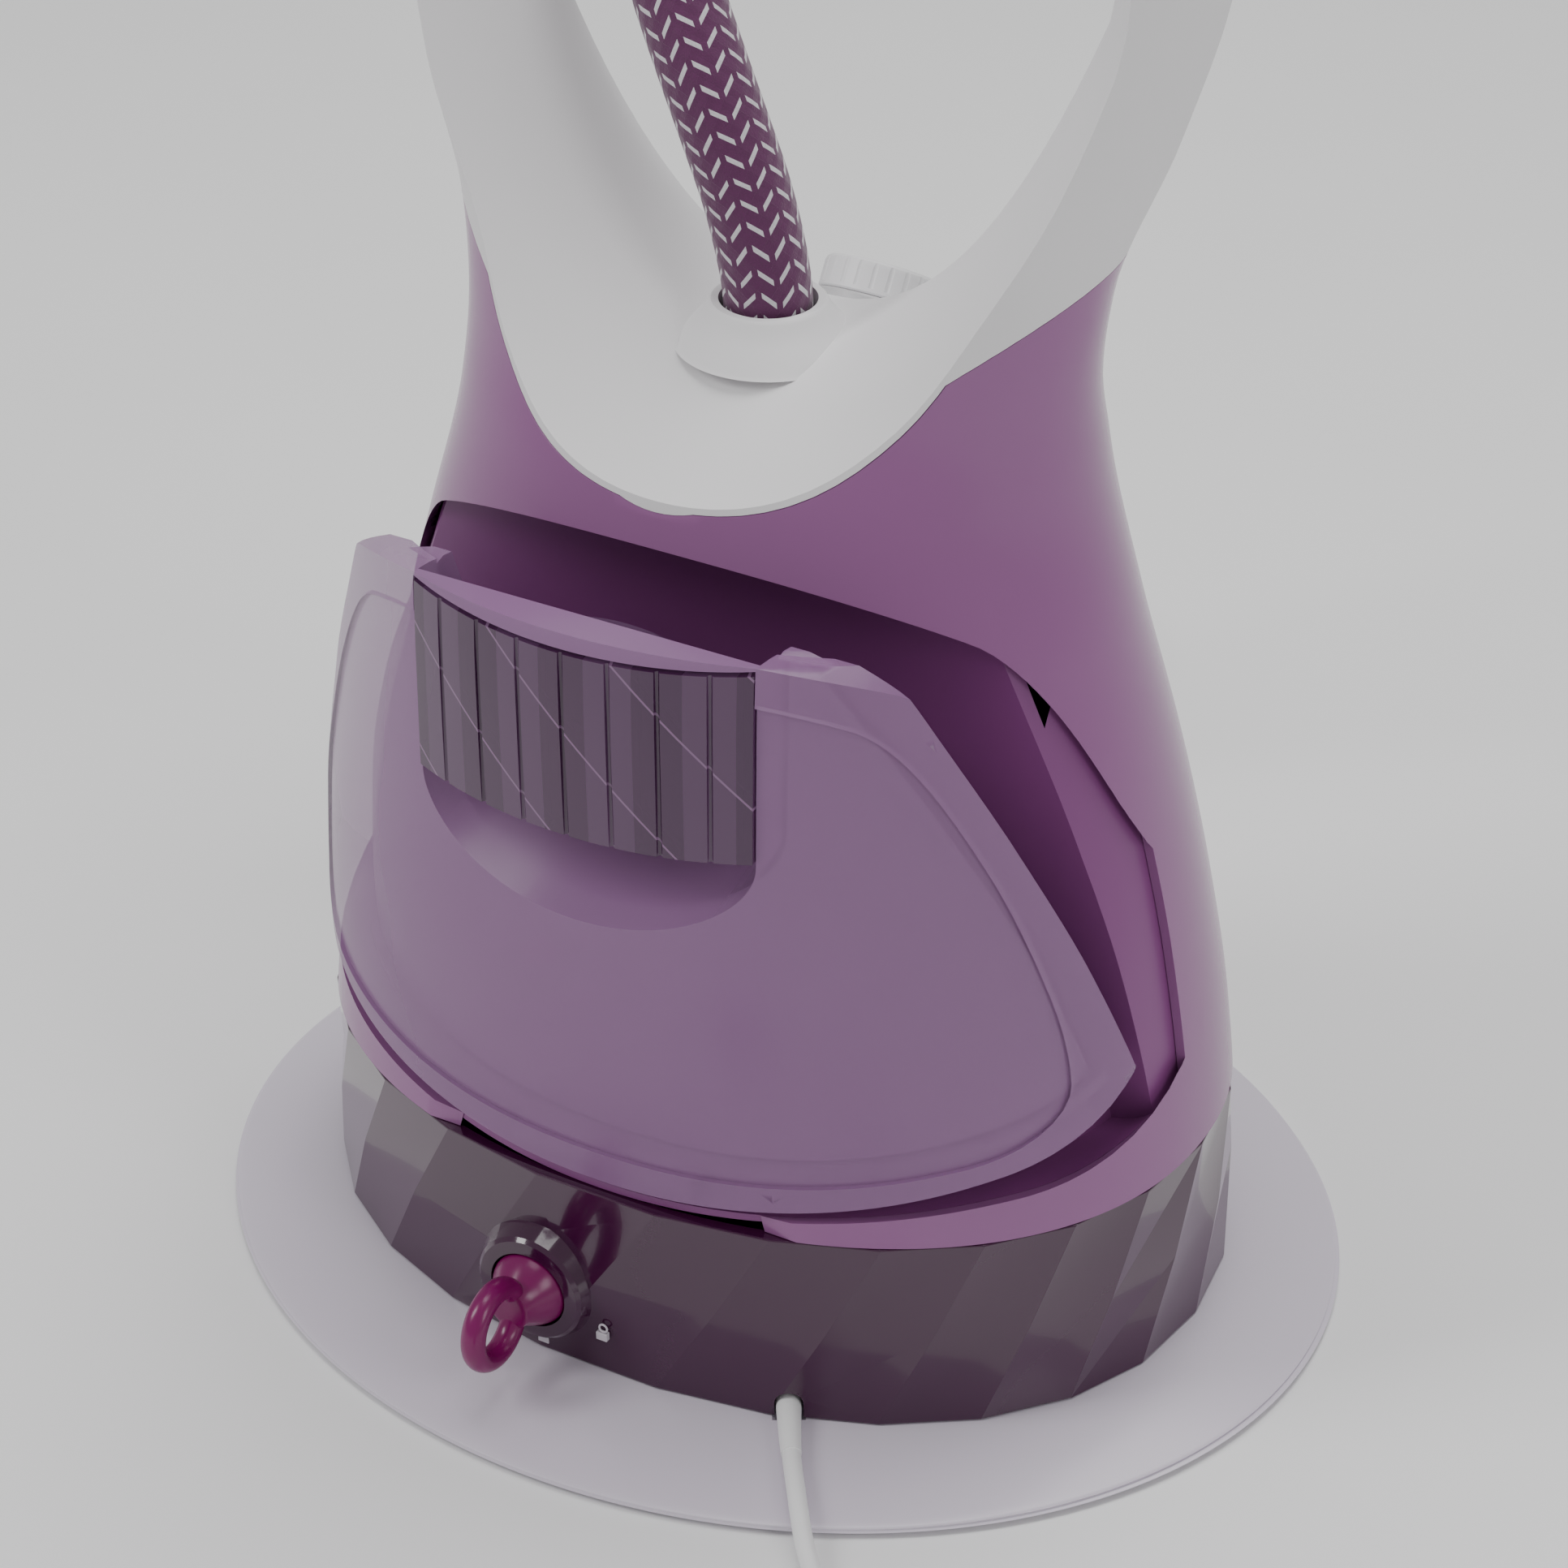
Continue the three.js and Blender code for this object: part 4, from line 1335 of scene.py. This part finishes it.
@dataclass
class Skirt(Assembly):
    """The faceted skirt, with the descaling boss and the notch for the lead."""

    edge: float = 0.5
    bore: float = 13.6
    notch: float = 4.6


    def build(self) -> None:
        """Makes the faceted skirt with the descaling boss and the lead's notch."""
        low, high = DISC_TOP + GAP, SKIRT_TOP
        rows = []
        for z, shift in ((low, 0), ((low + high) / 2, 0.5), (high, 1)):
            a, b, y, n = self.shapes.section(z)
            angle = 2 * np.pi * (np.arange(FACETS + 1) + shift) / FACETS
            cosine, sine = np.cos(angle), np.sin(angle)
            x = (a + 0.4) * np.sign(cosine) * np.abs(cosine) ** (2 / n)
            deep = y + (b + 0.4) * np.sign(sine) * np.abs(sine) ** (2 / n)
            rows.append(np.stack([x, deep, np.full(len(x), z)], 1))
        table = np.array(rows)

        def place(u: np.ndarray, v: np.ndarray) -> np.ndarray:
            """Lays the grid's points on the surface.

            Args:
                u: how far round each point is, from 0 to 1.
                v: how far along each point is, from 0 to 1.

            Returns:
                The points in mm.
            """
            return table[
                np.round(v * 2).astype(int), np.round(u * FACETS).astype(int)
            ]

        skirt = self.make.laid("faceted_skirt", FACETS, 2, place)
        self.make.hold(skirt)
        bpy.ops.object.mode_set(mode="EDIT")
        bpy.ops.mesh.select_all(action="SELECT")
        bpy.ops.mesh.quads_convert_to_tris(quad_method="FIXED", ngon_method="BEAUTY")
        bpy.ops.object.mode_set(mode="OBJECT")
        self.make.rounded(skirt, self.edge, 2)
        self.make.cut(skirt, self.shapes.body(4, low - 5, high + 5, 120, 20))
        at = (KNOB_AT[0], KNOB_AT[1] + 4, KNOB_AT[2])
        boss = self.make.turned(
            "boss",
            ((0, -12), (24, -12), (21.5, -2), (19, 4), (17.8, 5.2), (15.5, 5.5), (0, 5.5)),
            FRONT, at, 96,
        )
        self.make.cut(boss, self.shapes.body(6, low - 5, high + 5, 96, 20))
        self.make.cut(skirt, boss, Cut.JOIN)
        hole = ((0, -30), (self.bore, -30), (self.bore, 12), (0, 12))
        bore = self.make.turned("bore", hole, FRONT, at, 96)
        self.make.cut(skirt, bore)
        notch = self.make.block("notch", (-self.notch, -12, 0), (self.notch, 12, 15))
        arch = self.make.turned(
            "arch", ((0, -12), (self.notch, -12), (self.notch, 12), (0, 12)), FRONT, (0, 0, 15), 40
        )
        self.make.cut(notch, arch, Cut.JOIN)
        notch.data.transform(
            Matrix.Translation((65.3, -110.7, 0)) @ Matrix.Rotation(math.radians(30), 4, "Z")
        )
        self.make.cut(skirt, notch)
        self.make.finish(skirt, Finish.FACET, nodes=["facet_skirt"], slot="purple", sharp=14)


@dataclass
class Housing(Assembly):
    """The glossy purple housing."""

    wall: float = 3.0


    def build(self) -> None:
        """Makes the housing's shell with the tank's opening."""
        shell = self.shapes.body(0, SKIRT_TOP + GAP, 400, 200, 5)
        shell.name = shell.data.name = "housing_shell"
        self.make.cut(shell, self.shapes.body(self.wall, SKIRT_TOP - 6, 420, 120, 12))
        self.make.cut(shell, self.shapes.seam(0, False), Cut.KEEP)
        self.make.cut(shell, self.shapes.saddle(1.8))
        self.make.cut(shell, self.shapes.opening(0, -220, -8))
        self.make.finish(shell, Finish.PURPLE, nodes=["housing"], slot="purple")


@dataclass
class TankBay(Assembly):
    """The recess that the tank sits in."""

    seat: float = 13.5
    cheek: float = 108.0


    def build(self) -> None:
        """Makes the bay that the tank sits in."""
        outer = self.shapes.opening(2, -220, 0)
        outer.name = outer.data.name = "tank_bay"
        wide = self.shapes.opening(-2.5, -220, 0)
        self.make.cut(wide, self.shapes.body(20, 50, 335, 120, 12))
        self.make.cut(outer, wide, Cut.JOIN)
        keep = self.shapes.side_prism(
            [(-230, 30), (-18, 30), (-18, 84), (-42, 310), (-230, 310)], 220
        )
        for side in (-1, 1):
            cheek = sorted((side * self.cheek, side * 170))
            block = self.make.block("cheek", (cheek[0], -60, 40), (cheek[1], -5, 250))
            self.make.cut(keep, block, Cut.JOIN)
        self.make.cut(outer, keep, Cut.KEEP)
        inner = self.shapes.opening(5, -230, 10)
        front = self.shapes.opening(0, -230, 10)
        self.make.cut(front, self.shapes.body(18, 50, 335, 120, 12))
        self.make.cut(inner, front, Cut.JOIN)
        self.make.cut(
            inner,
            self.shapes.side_prism(
                [(-231, 40), (-21, 40), (-21, 84), (-45, 300), (-231, 300)], 230
            ),
            Cut.KEEP,
        )
        self.make.cut(outer, inner)
        self.make.cut(outer, self.shapes.body(3.3, 60, 330, 160, 8), Cut.KEEP)
        for x in (-62, 62):
            pocket = self.make.block("pocket", (x - 7, -57, 262), (x + 7, -46, 296))
            self.make.cut(outer, pocket)
        hole = ((0, 60), (self.seat, 60), (self.seat, 110), (0, 110))
        seat = self.make.turned("seat", hole, at=CAP_AT, around=48)
        self.make.cut(outer, seat)
        self.make.cut(outer, self.make.block("ledge", (-31, -112, 85.2), (31, -86, 100)))
        self.make.finish(outer, Finish.BAY, nodes=["bay_liner"], slot="bay")


@dataclass
class PoleSaddle(Assembly):
    """The silver saddle with its arms, the hose collar and the dial well."""

    hole: float = 14.9
    pole: float = 9.8


    def build(self) -> None:
        """Makes the silver saddle with its arms and the hose's collar."""
        yoke = self.shapes.body(0, 285, ARM_TOP, 200, 4)
        yoke.name = yoke.data.name = "pole_saddle"
        keep = self.shapes.seam(GAP, True)
        self.make.cut(keep, self.shapes.saddle(1.5), Cut.JOIN)
        self.make.cut(yoke, keep, Cut.KEEP)
        skin = self.shapes.body(3.3, 280, 420, 160, 8)
        self.make.cut(skin, self.shapes.saddle(4.5), Cut.KEEP)
        self.make.cut(yoke, skin, Cut.JOIN)
        self.make.cut(yoke, self.shapes.saddle(0))
        hollow = self.shapes.body(4.5, 300, ARM_TOP - 60, 120, 10)
        self.make.cut(hollow, self.shapes.saddle(4.5))
        self.make.cut(yoke, hollow)
        collar = self.make.turned(
            "collar",
            (
                (0, -14), (28.4, -14), (27, -13), (25.4, -10.5), (22, -7), (20, -4.6),
                (18.8, -2.5), (18, -1), (17.6, -0.4), (17.1, 0), (16.5, 0), (0, 0),
            ),
            at=(0, HOSE_HOLE_Y, HOSE_HOLE_TOP), around=96,
        )
        self.make.cut(yoke, collar, Cut.JOIN)
        hole = self.make.turned(
            "hole", ((0, 250), (self.hole, 250), (self.hole, 360), (0, 360)),
            at=(0, HOSE_HOLE_Y, 0), around=96,
        )
        self.make.cut(yoke, hole)
        for name, radius, low, high, how in (
            ("floor", DIAL_RADIUS + 4, -4, 0, Cut.JOIN),
            ("well", DIAL_RADIUS + 1.2, 0, 60, Cut.AWAY),
            ("shaft", 4.2, -30, 8, Cut.AWAY),
        ):
            tool = self.make.turned(
                name, ((0, low), (radius, low), (radius, high), (0, high)), LEAN_AXIS, DIAL_AT, 72
            )
            self.make.cut(yoke, tool, how)
        for side in (-1, 1):
            for profile, axis, at in (
                (
                    ((0, 456.7), (self.pole, 456.7), (self.pole, 515), (0, 515)),
                    (0, 0, 1), (118 * side, 24, 0),
                ),
                (((0, 129), (8, 129), (8, 160), (0, 160)), (side, 0, 0), (0, 24, 482)),
                (((0, 118), (3.3, 118), (3.3, 160), (0, 160)), (side, 0, 0), (0, 24, 482)),
            ):
                self.make.cut(yoke, self.make.turned("bore", profile, axis, at, 48))
        self.make.finish(yoke, Finish.SILVER, nodes=["yoke"], slot="silver")


@dataclass
class SteamDial(Assembly):
    """The fluted steam dial and its clear ring."""

    radius: float = DIAL_RADIUS
    flutes: int = 24


    def build(self) -> None:
        """Makes the fluted steam dial and its clear ring."""
        r = self.radius
        knob = self.make.turned(
            "steam_knob",
            (
                (0, 4.3), (r - 0.5, 4.3), (r, 4.9), (r, 12.6), (r - 0.3, 13.9), (r - 1.3, 14.8),
                (r - 2.6, 15), (6, 14.4), (0, 14.4),
            ),
            LEAN_AXIS, DIAL_AT, 96,
        )
        flute = self.make.turned(
            "flute", ((0, 6), (1.0, 6), (1.0, 20), (0, 20)), LEAN_AXIS,
            Vector(DIAL_AT) + Vector((r + 0.5, 0, 0)), 12,
        )
        there = Matrix.Translation(DIAL_AT)
        turns = [
            there @ Matrix.Rotation(2 * math.pi * k / self.flutes, 4, LEAN_AXIS) @ there.inverted()
            for k in range(self.flutes)
        ]
        self.make.cut(knob, self.make.repeated(flute, turns))
        self.make.finish(knob, Finish.DIAL, "dial", ["steam_dial"], "dial")
        ring = self.make.hooped(
            "dial_band",
            (
                (r - 3, GAP), (r + 0.4, GAP), (r + 0.6, 1), (r + 0.6, 3.4), (r + 0.2, 4),
                (r - 3, 4), (r - 3, GAP),
            ),
            LEAN_AXIS, DIAL_AT, 96,
        )
        self.make.finish(ring, Finish.CLEAR, nodes=["dial_ring"], slot="clear")


@dataclass
class WaterTank(Assembly):
    """The tinted water tank, leaning out on its cradle, with its lifting band."""

    wall: float = 2.6
    groove: float = 0.9


    def build(self) -> None:
        """Makes the water tank and its handle."""
        flange = self.tank_space(3, 80, 0)
        self.make.cut(flange, self.shapes.body(0.2, 60, 320, 200, 5), Cut.KEEP)
        self.make.cut(flange, self.shapes.body(12, 55, 330, 160, 8))
        panel = self.shapes.body(-6, 58, 330, 160, 8)
        self.make.cut(panel, self.shapes.body(1.5, 56, 332, 200, 5))
        self.make.cut(panel, self.shapes.opening(15, -229, -20), Cut.KEEP)
        tank = self.tank_space(9, 80, 0)
        tank.name = tank.data.name = "water_tank"
        self.make.cut(tank, self.shapes.body(0.2, 60, 320, 200, 5), Cut.KEEP)
        self.make.cut(tank, flange, Cut.JOIN)
        self.make.cut(tank, panel)
        inside = self.tank_space(9 + self.wall, 80, self.wall)
        self.make.cut(inside, self.shapes.body(12 + self.wall, 50, 330, 160, 8), Cut.KEEP)
        hollow = self.grip(2)
        self.make.cut(hollow, self.shapes.body(40, 60, 330, 120, 12))
        self.make.cut(inside, hollow)
        self.make.cut(tank, inside)
        opened = self.grip(0)
        self.make.cut(opened, self.shapes.body(37.5, 60, 330, 120, 12))
        self.make.cut(tank, opened)
        sleeve = ((15.2, 92), (18.5, 92), (18.5, 104), (15.2, 104), (15.2, 92))
        collar = self.make.hooped("collar", sleeve, at=CAP_AT, around=64)
        self.make.cut(tank, collar, Cut.JOIN)
        filler = ((0, 60), (15.2, 60), (15.2, 110), (0, 110))
        self.make.cut(tank, self.make.turned("filler", filler, at=CAP_AT, around=64))
        ledge = self.make.block("ledge", (-31.5, -113.5, 70), (31.5, -100, 90.2))
        self.make.cut(tank, ledge)
        self.make.finish(self.leaned(tank), Finish.TANK, "tank", ["tank_shell"], "tank")
        self.handle()

    def handle(self) -> None:
        """Makes the grooved band that the fingers lift the tank by."""
        band = self.shapes.opening(3.4, -220, 0)
        band.name = band.data.name = "tank_grip"
        self.make.cut(band, self.shapes.body(0.2, 200, 320, 160, 6), Cut.KEEP)
        self.make.cut(band, self.shapes.body(4.4, 190, 330, 160, 6))
        limits = [(-200, 214), (-40, 214), (-40, 273.5), (-200, 273.5)]
        self.make.cut(band, self.shapes.side_prism(limits, 57 - GAP), Cut.KEEP)
        for x in range(-45, 46, 15):
            foot, top = self.front(x, 213), self.front(x, 275)
            run = top - foot
            groove = self.make.turned(
                "groove", ((0, 0), (self.groove, 0), (self.groove, run.length), (0, run.length)),
                run, foot, 12,
            )
            self.make.cut(band, groove)
        self.make.finish(self.leaned(band), Finish.HANDLE, "tank", ["tank_handle"], "tank")


    def front(self, x: float, z: float) -> Vector:
        """Finds the point of the body's front at a place.

        Args:
            x: its x.
            z: its height.

        Returns:
            The point.
        """
        a, b, y, n = self.shapes.section(z)
        return Vector((x, y - b * (1 - (abs(x) / a) ** n) ** (1 / n), z))

    def leaned(self, piece: bpy.types.Object) -> bpy.types.Object:
        """Leans a piece out with the stored tank.

        Args:
            piece: the piece, built as if the tank were in.

        Returns:
            The piece.
        """
        pivot = Matrix.Translation((0, LIP[0], LIP[1]))
        piece.data.transform(pivot @ Matrix.Rotation(TANK_TILT, 4, "X") @ pivot.inverted())
        return piece

    def tank_space(self, inset: float, bottom: float, slope: float) -> bpy.types.Object:
        """Makes the tank's outer or inner solid before its front is cut.

        Args:
            inset: how far inside the opening it runs.
            bottom: its lowest height.
            slope: how far its back and top are drawn in.

        Returns:
            A closed solid.
        """
        space = self.shapes.opening(inset, -229, 10)
        limits = [
            (-235, bottom), (-27 - slope, bottom), (-49 - slope, 268 - slope),
            (-60, 273 - slope), (-90, 284 - slope), (-235, 284 - slope),
        ]
        return self.make.cut(space, self.shapes.side_prism(limits, 230), Cut.KEEP)

    def grip(self, grow: float) -> bpy.types.Object:
        """Makes the finger hollow's prism.

        Args:
            grow: how far it is larger than the hollow.

        Returns:
            A closed solid.
        """
        half, low = 57 + grow, 184 - grow
        turns = np.linspace(np.pi, 2 * np.pi, 41)
        arc = [(half * np.cos(t), 212 + (212 - low) * np.sin(t)) for t in turns]
        ring = np.array([(-half, 275 + grow), *arc, (half, 275 + grow), (-half, 275 + grow)])
        count = len(ring) - 1

        def place(u: np.ndarray, v: np.ndarray) -> np.ndarray:
            """Lays the grid's points on the surface.

            Args:
                u: how far round each point is, from 0 to 1.
                v: how far along each point is, from 0 to 1.

            Returns:
                The points in mm.
            """
            index = np.round(u * count).astype(int)
            return np.stack([ring[index, 0], -200 + 180 * v, ring[index, 1]], 1)

        return self.make.laid("grip_space", count, 1, place)


@dataclass
class DescalingKnob(Assembly):
    """The descaling knob with its loop, and the two signs beside it."""

    loop: float = 12.0


    def build(self) -> None:
        """Makes the descaling knob and its loop."""
        knob = self.make.turned(
            "descaling_knob",
            (
                (0, -1.6), (12.6, -1.6), (13, -0.8), (13, 0.4), (12.6, 1.8), (11.6, 4),
                (10.1, 6.4), (8.6, 8.6), (7.6, 10.7), (7, 12.6), (5, 13.2), (0, 13.4),
            ),
            FRONT, KNOB_AT, 96,
        )
        socket = ((0, -4), (5.2, -4), (5.2, 3.4), (0, 3.4))
        self.make.cut(knob, self.make.turned("socket", socket, FRONT, KNOB_AT, 40))
        turns = np.linspace(0, 2 * np.pi, 33)
        loop = [
            (self.loop + 3.6 * math.cos(t), 4.1 * math.sin(t)) for t in turns[:-1]
        ]
        loop.append(loop[0])
        middle = (KNOB_AT[0], KNOB_AT[1] - 21, KNOB_AT[2])
        ring = self.make.hooped("loop", loop, (1, 0, 0), middle, 72)
        self.make.cut(knob, ring, Cut.JOIN)
        self.make.finish(knob, Finish.KNOB, "knob", ["decalc_knob"], "knob", 50)
        self.padlock("closed_sign", (-20.0, 14.6), 0.0)
        self.padlock("open_sign", (2.5, 25.0), 1.6)

    def padlock(self, name: str, at: tuple[float, float], lift: float) -> None:
        """Makes a small raised padlock beside the knob.

        Args:
            name: its name.
            at: its middle as (x, z).
            lift: how far its shackle is raised.
        """
        x, z = at
        face = -119.2 * math.sqrt(1 - (x / 154) ** 2)
        low, high = (x - 2, face - 0.5, z - 2.4), (x + 2, face + 1.5, z + 0.6)
        sign = self.make.block(name, low, high, 0.3)
        turns = np.linspace(0, 2 * np.pi, 13)
        ring = [(1.4 + 0.35 * math.cos(t), 0.35 * math.sin(t)) for t in turns[:-1]]
        ring.append(ring[0])
        middle = (x + lift / 3, face, z + 0.9 + lift)
        shackle = self.make.hooped("shackle", ring, FRONT, middle, 28)
        self.make.cut(sign, shackle, Cut.JOIN)
        self.make.finish(sign, Finish.PALE)


@dataclass
class SteamHose(Assembly):
    """The braided steam hose and its coupling."""

    radius: float = 13.4


    def build(self) -> None:
        """Makes the braided steam hose and its coupling."""
        line = resample(smooth_line(HOSE_ROUTE, 16), 420) / MM
        hose = self.make.tube("braided_hose", line, self.radius, 32)
        self.make.finish(hose, Finish.BRAID, nodes=["steam_hose"], slot="hose", sharp=60)
        along = (-0.38, -0.925, 0)
        at = (-72, 223, 18.2)
        cuff = self.make.turned(
            "hose_cuff",
            (
                (0, 0.6), (15.8, 0.6), (16.4, 1.2), (17.8, 4), (17.8, 9), (16.9, 10), (16.9, 12),
                (17.8, 13), (17.8, 17), (16.9, 18), (16.9, 20), (17.8, 21), (17.8, 26),
                (15.6, 30), (15.6, 44), (13.4, 46), (13.4, 59.4), (12.8, 60), (9, 60), (9, 40),
                (0, 40),
            ),
            along, at, 72,
        )
        latch = self.make.block("latch", (32, -4, 14.5), (42, 4, 18.6), 0.8)
        turn = math.atan2(along[1], along[0])
        latch.data.transform(Matrix.Translation(at) @ Matrix.Rotation(turn, 4, "Z"))
        self.make.cut(cuff, latch, Cut.JOIN)
        self.make.finish(cuff, Finish.DARK, nodes=["hose_connector"], slot="dark")


@dataclass
class MainsLead(Assembly):
    """The mains lead, its tapered sleeve and its plug."""

    nodes: dict
    radius: float = 3.0
    thick: float = 4.2
    sleeve: float = 26.0


    def build(self) -> None:
        """Makes the mains lead, its strain relief and its plug."""
        points = np.vstack([CORD_ROUTE, coil_route(), CORD_TAIL])
        line = resample(smooth_line(points, 4), 900) / MM
        lead = self.make.tube("mains_lead", line, self.radius, 14)
        self.make.finish(
            lead, Finish.WHITE, nodes=["power_cord", "cord_coil", "cord_tail"],
            slot="white", sharp=60,
        )
        self.relief(line)
        plug = self.make.turned(
            "mains_plug",
            (
                (0, 0.3), (4.4, 0.3), (4.8, 1), (5, 5), (4.6, 5.6), (4.6, 7), (5.2, 7.6), (5.3, 11),
                (4.9, 11.6), (4.9, 13), (6, 14.4), (10, 19), (15, 24), (17.6, 27.6), (18.3, 30),
                (18.3, 45.6), (17.8, 47.4), (16.6, 48), (0, 48),
            ),
            (-1, 0, 0), (81, -288.6, 18.8), 72,
        )
        self.make.finish(plug, Finish.DARK, nodes=["plug_body"], slot="dark")

    def relief(self, line: np.ndarray) -> None:
        """Makes the sleeve that tapers onto the lead where it leaves the skirt.

        Args:
            line: the lead's centre line in mm.
        """
        steps = np.linalg.norm(np.diff(line, axis=0), axis=1)
        count = int(np.searchsorted(np.cumsum(steps), self.sleeve)) + 1
        sleeve = self.make.tube("lead_sleeve", line[:count], 1.0, 28)
        spots = np.array([vertex.co for vertex in sleeve.data.vertices])
        gaps = spots[:, None] - line[None, :count]
        nearest = np.argmin(np.linalg.norm(gaps, axis=2), axis=1)
        along = nearest / (count - 1)
        widths = self.thick + (self.radius + 0.25 - self.thick) * along
        places = line[nearest] + (spots - line[nearest]) * widths[:, None]
        sleeve.data.vertices.foreach_set("co", places.ravel())
        sleeve.data.update()
        self.make.finish(sleeve, Finish.WHITE, slot="white", sharp=50)


def add_camera() -> None:
    """Adds the camera that the object is seen with."""
    azimuth, height = math.radians(29.3), math.radians(31.9)
    forward = Vector(
        (
            -math.sin(azimuth) * math.cos(height),
            math.cos(azimuth) * math.cos(height),
            -math.sin(height),
        )
    )
    right = Vector((math.cos(azimuth), math.sin(azimuth), 0))
    target = right * 0.0012 + Vector((0, 0, 0.1636))
    data = bpy.data.cameras.new("camera")
    data.lens = 95.63
    data.sensor_width = 36
    data.clip_end = 20
    camera = bpy.data.objects.new("camera", data)
    camera.location = target - forward * 1.328
    camera.rotation_euler = forward.to_track_quat("-Z", "Y").to_euler()
    bpy.context.collection.objects.link(camera)
    bpy.context.scene.camera = camera


def add_stage() -> None:
    """Adds the white floor, the sky and the lights."""
    bpy.ops.object.select_all(action="DESELECT")
    bpy.ops.mesh.primitive_plane_add(size=12)
    floor = bpy.context.object
    floor.name = "floor"
    floor.data.materials.append(Finish.FLOOR.material())
    world = bpy.data.worlds.new("studio")
    world.use_nodes = True
    world.node_tree.nodes["Background"].inputs[0].default_value = (1, 1, 1, 1)
    world.node_tree.nodes["Background"].inputs[1].default_value = WORLD_LIGHT
    bpy.context.scene.world = world
    for name, spot, power, width in (
        ("key", (-1.5, -1.4, 1.9), 22, 0.7),
        ("fill", (1.9, -0.7, 1.2), 8, 0.6),
        ("top", (0.1, 0.5, 2.3), 30, 1.2),
    ):
        data = bpy.data.lights.new(name, "AREA")
        data.energy = power
        data.shape = "RECTANGLE"
        data.size = width
        data.size_y = width * 1.6
        lamp = bpy.data.objects.new(name, data)
        lamp.location = spot
        aim = Vector((0, 0, 0.2)) - Vector(spot)
        lamp.rotation_euler = aim.to_track_quat("-Z", "Y").to_euler()
        bpy.context.collection.objects.link(lamp)


def dress_nodes(frame: dict) -> None:
    """Gives the CAD nodes that stay their finishes, by the record's slots.

    Args:
        frame: the loaded frame.
    """
    slots = {entry["node"]: entry["material_slot"] for entry in frame["record"]["subparts"]}
    for name, node in frame["nodes"].items():
        look = Finish.__members__.get(slots.get(name, "dark").upper(), Finish.DARK)
        node.data.materials.clear()
        node.data.materials.append(look.material())


def main() -> None:
    """Builds the whole scene."""
    logging.basicConfig(level=logging.INFO)
    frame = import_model()
    add_camera()
    make = Modeller()
    shapes = Shapes(make)
    for assembly in (
        SteamHose(make, shapes),
        MainsLead(make, shapes, frame["nodes"]),
        FootPlate(make, shapes),
        Skirt(make, shapes),
        Housing(make, shapes),
        TankBay(make, shapes),
        PoleSaddle(make, shapes),
        SteamDial(make, shapes),
        WaterTank(make, shapes),
        DescalingKnob(make, shapes),
    ):
        assembly.build()
    dress_nodes(frame)
    add_stage()


if __name__ == "__main__":
    main()
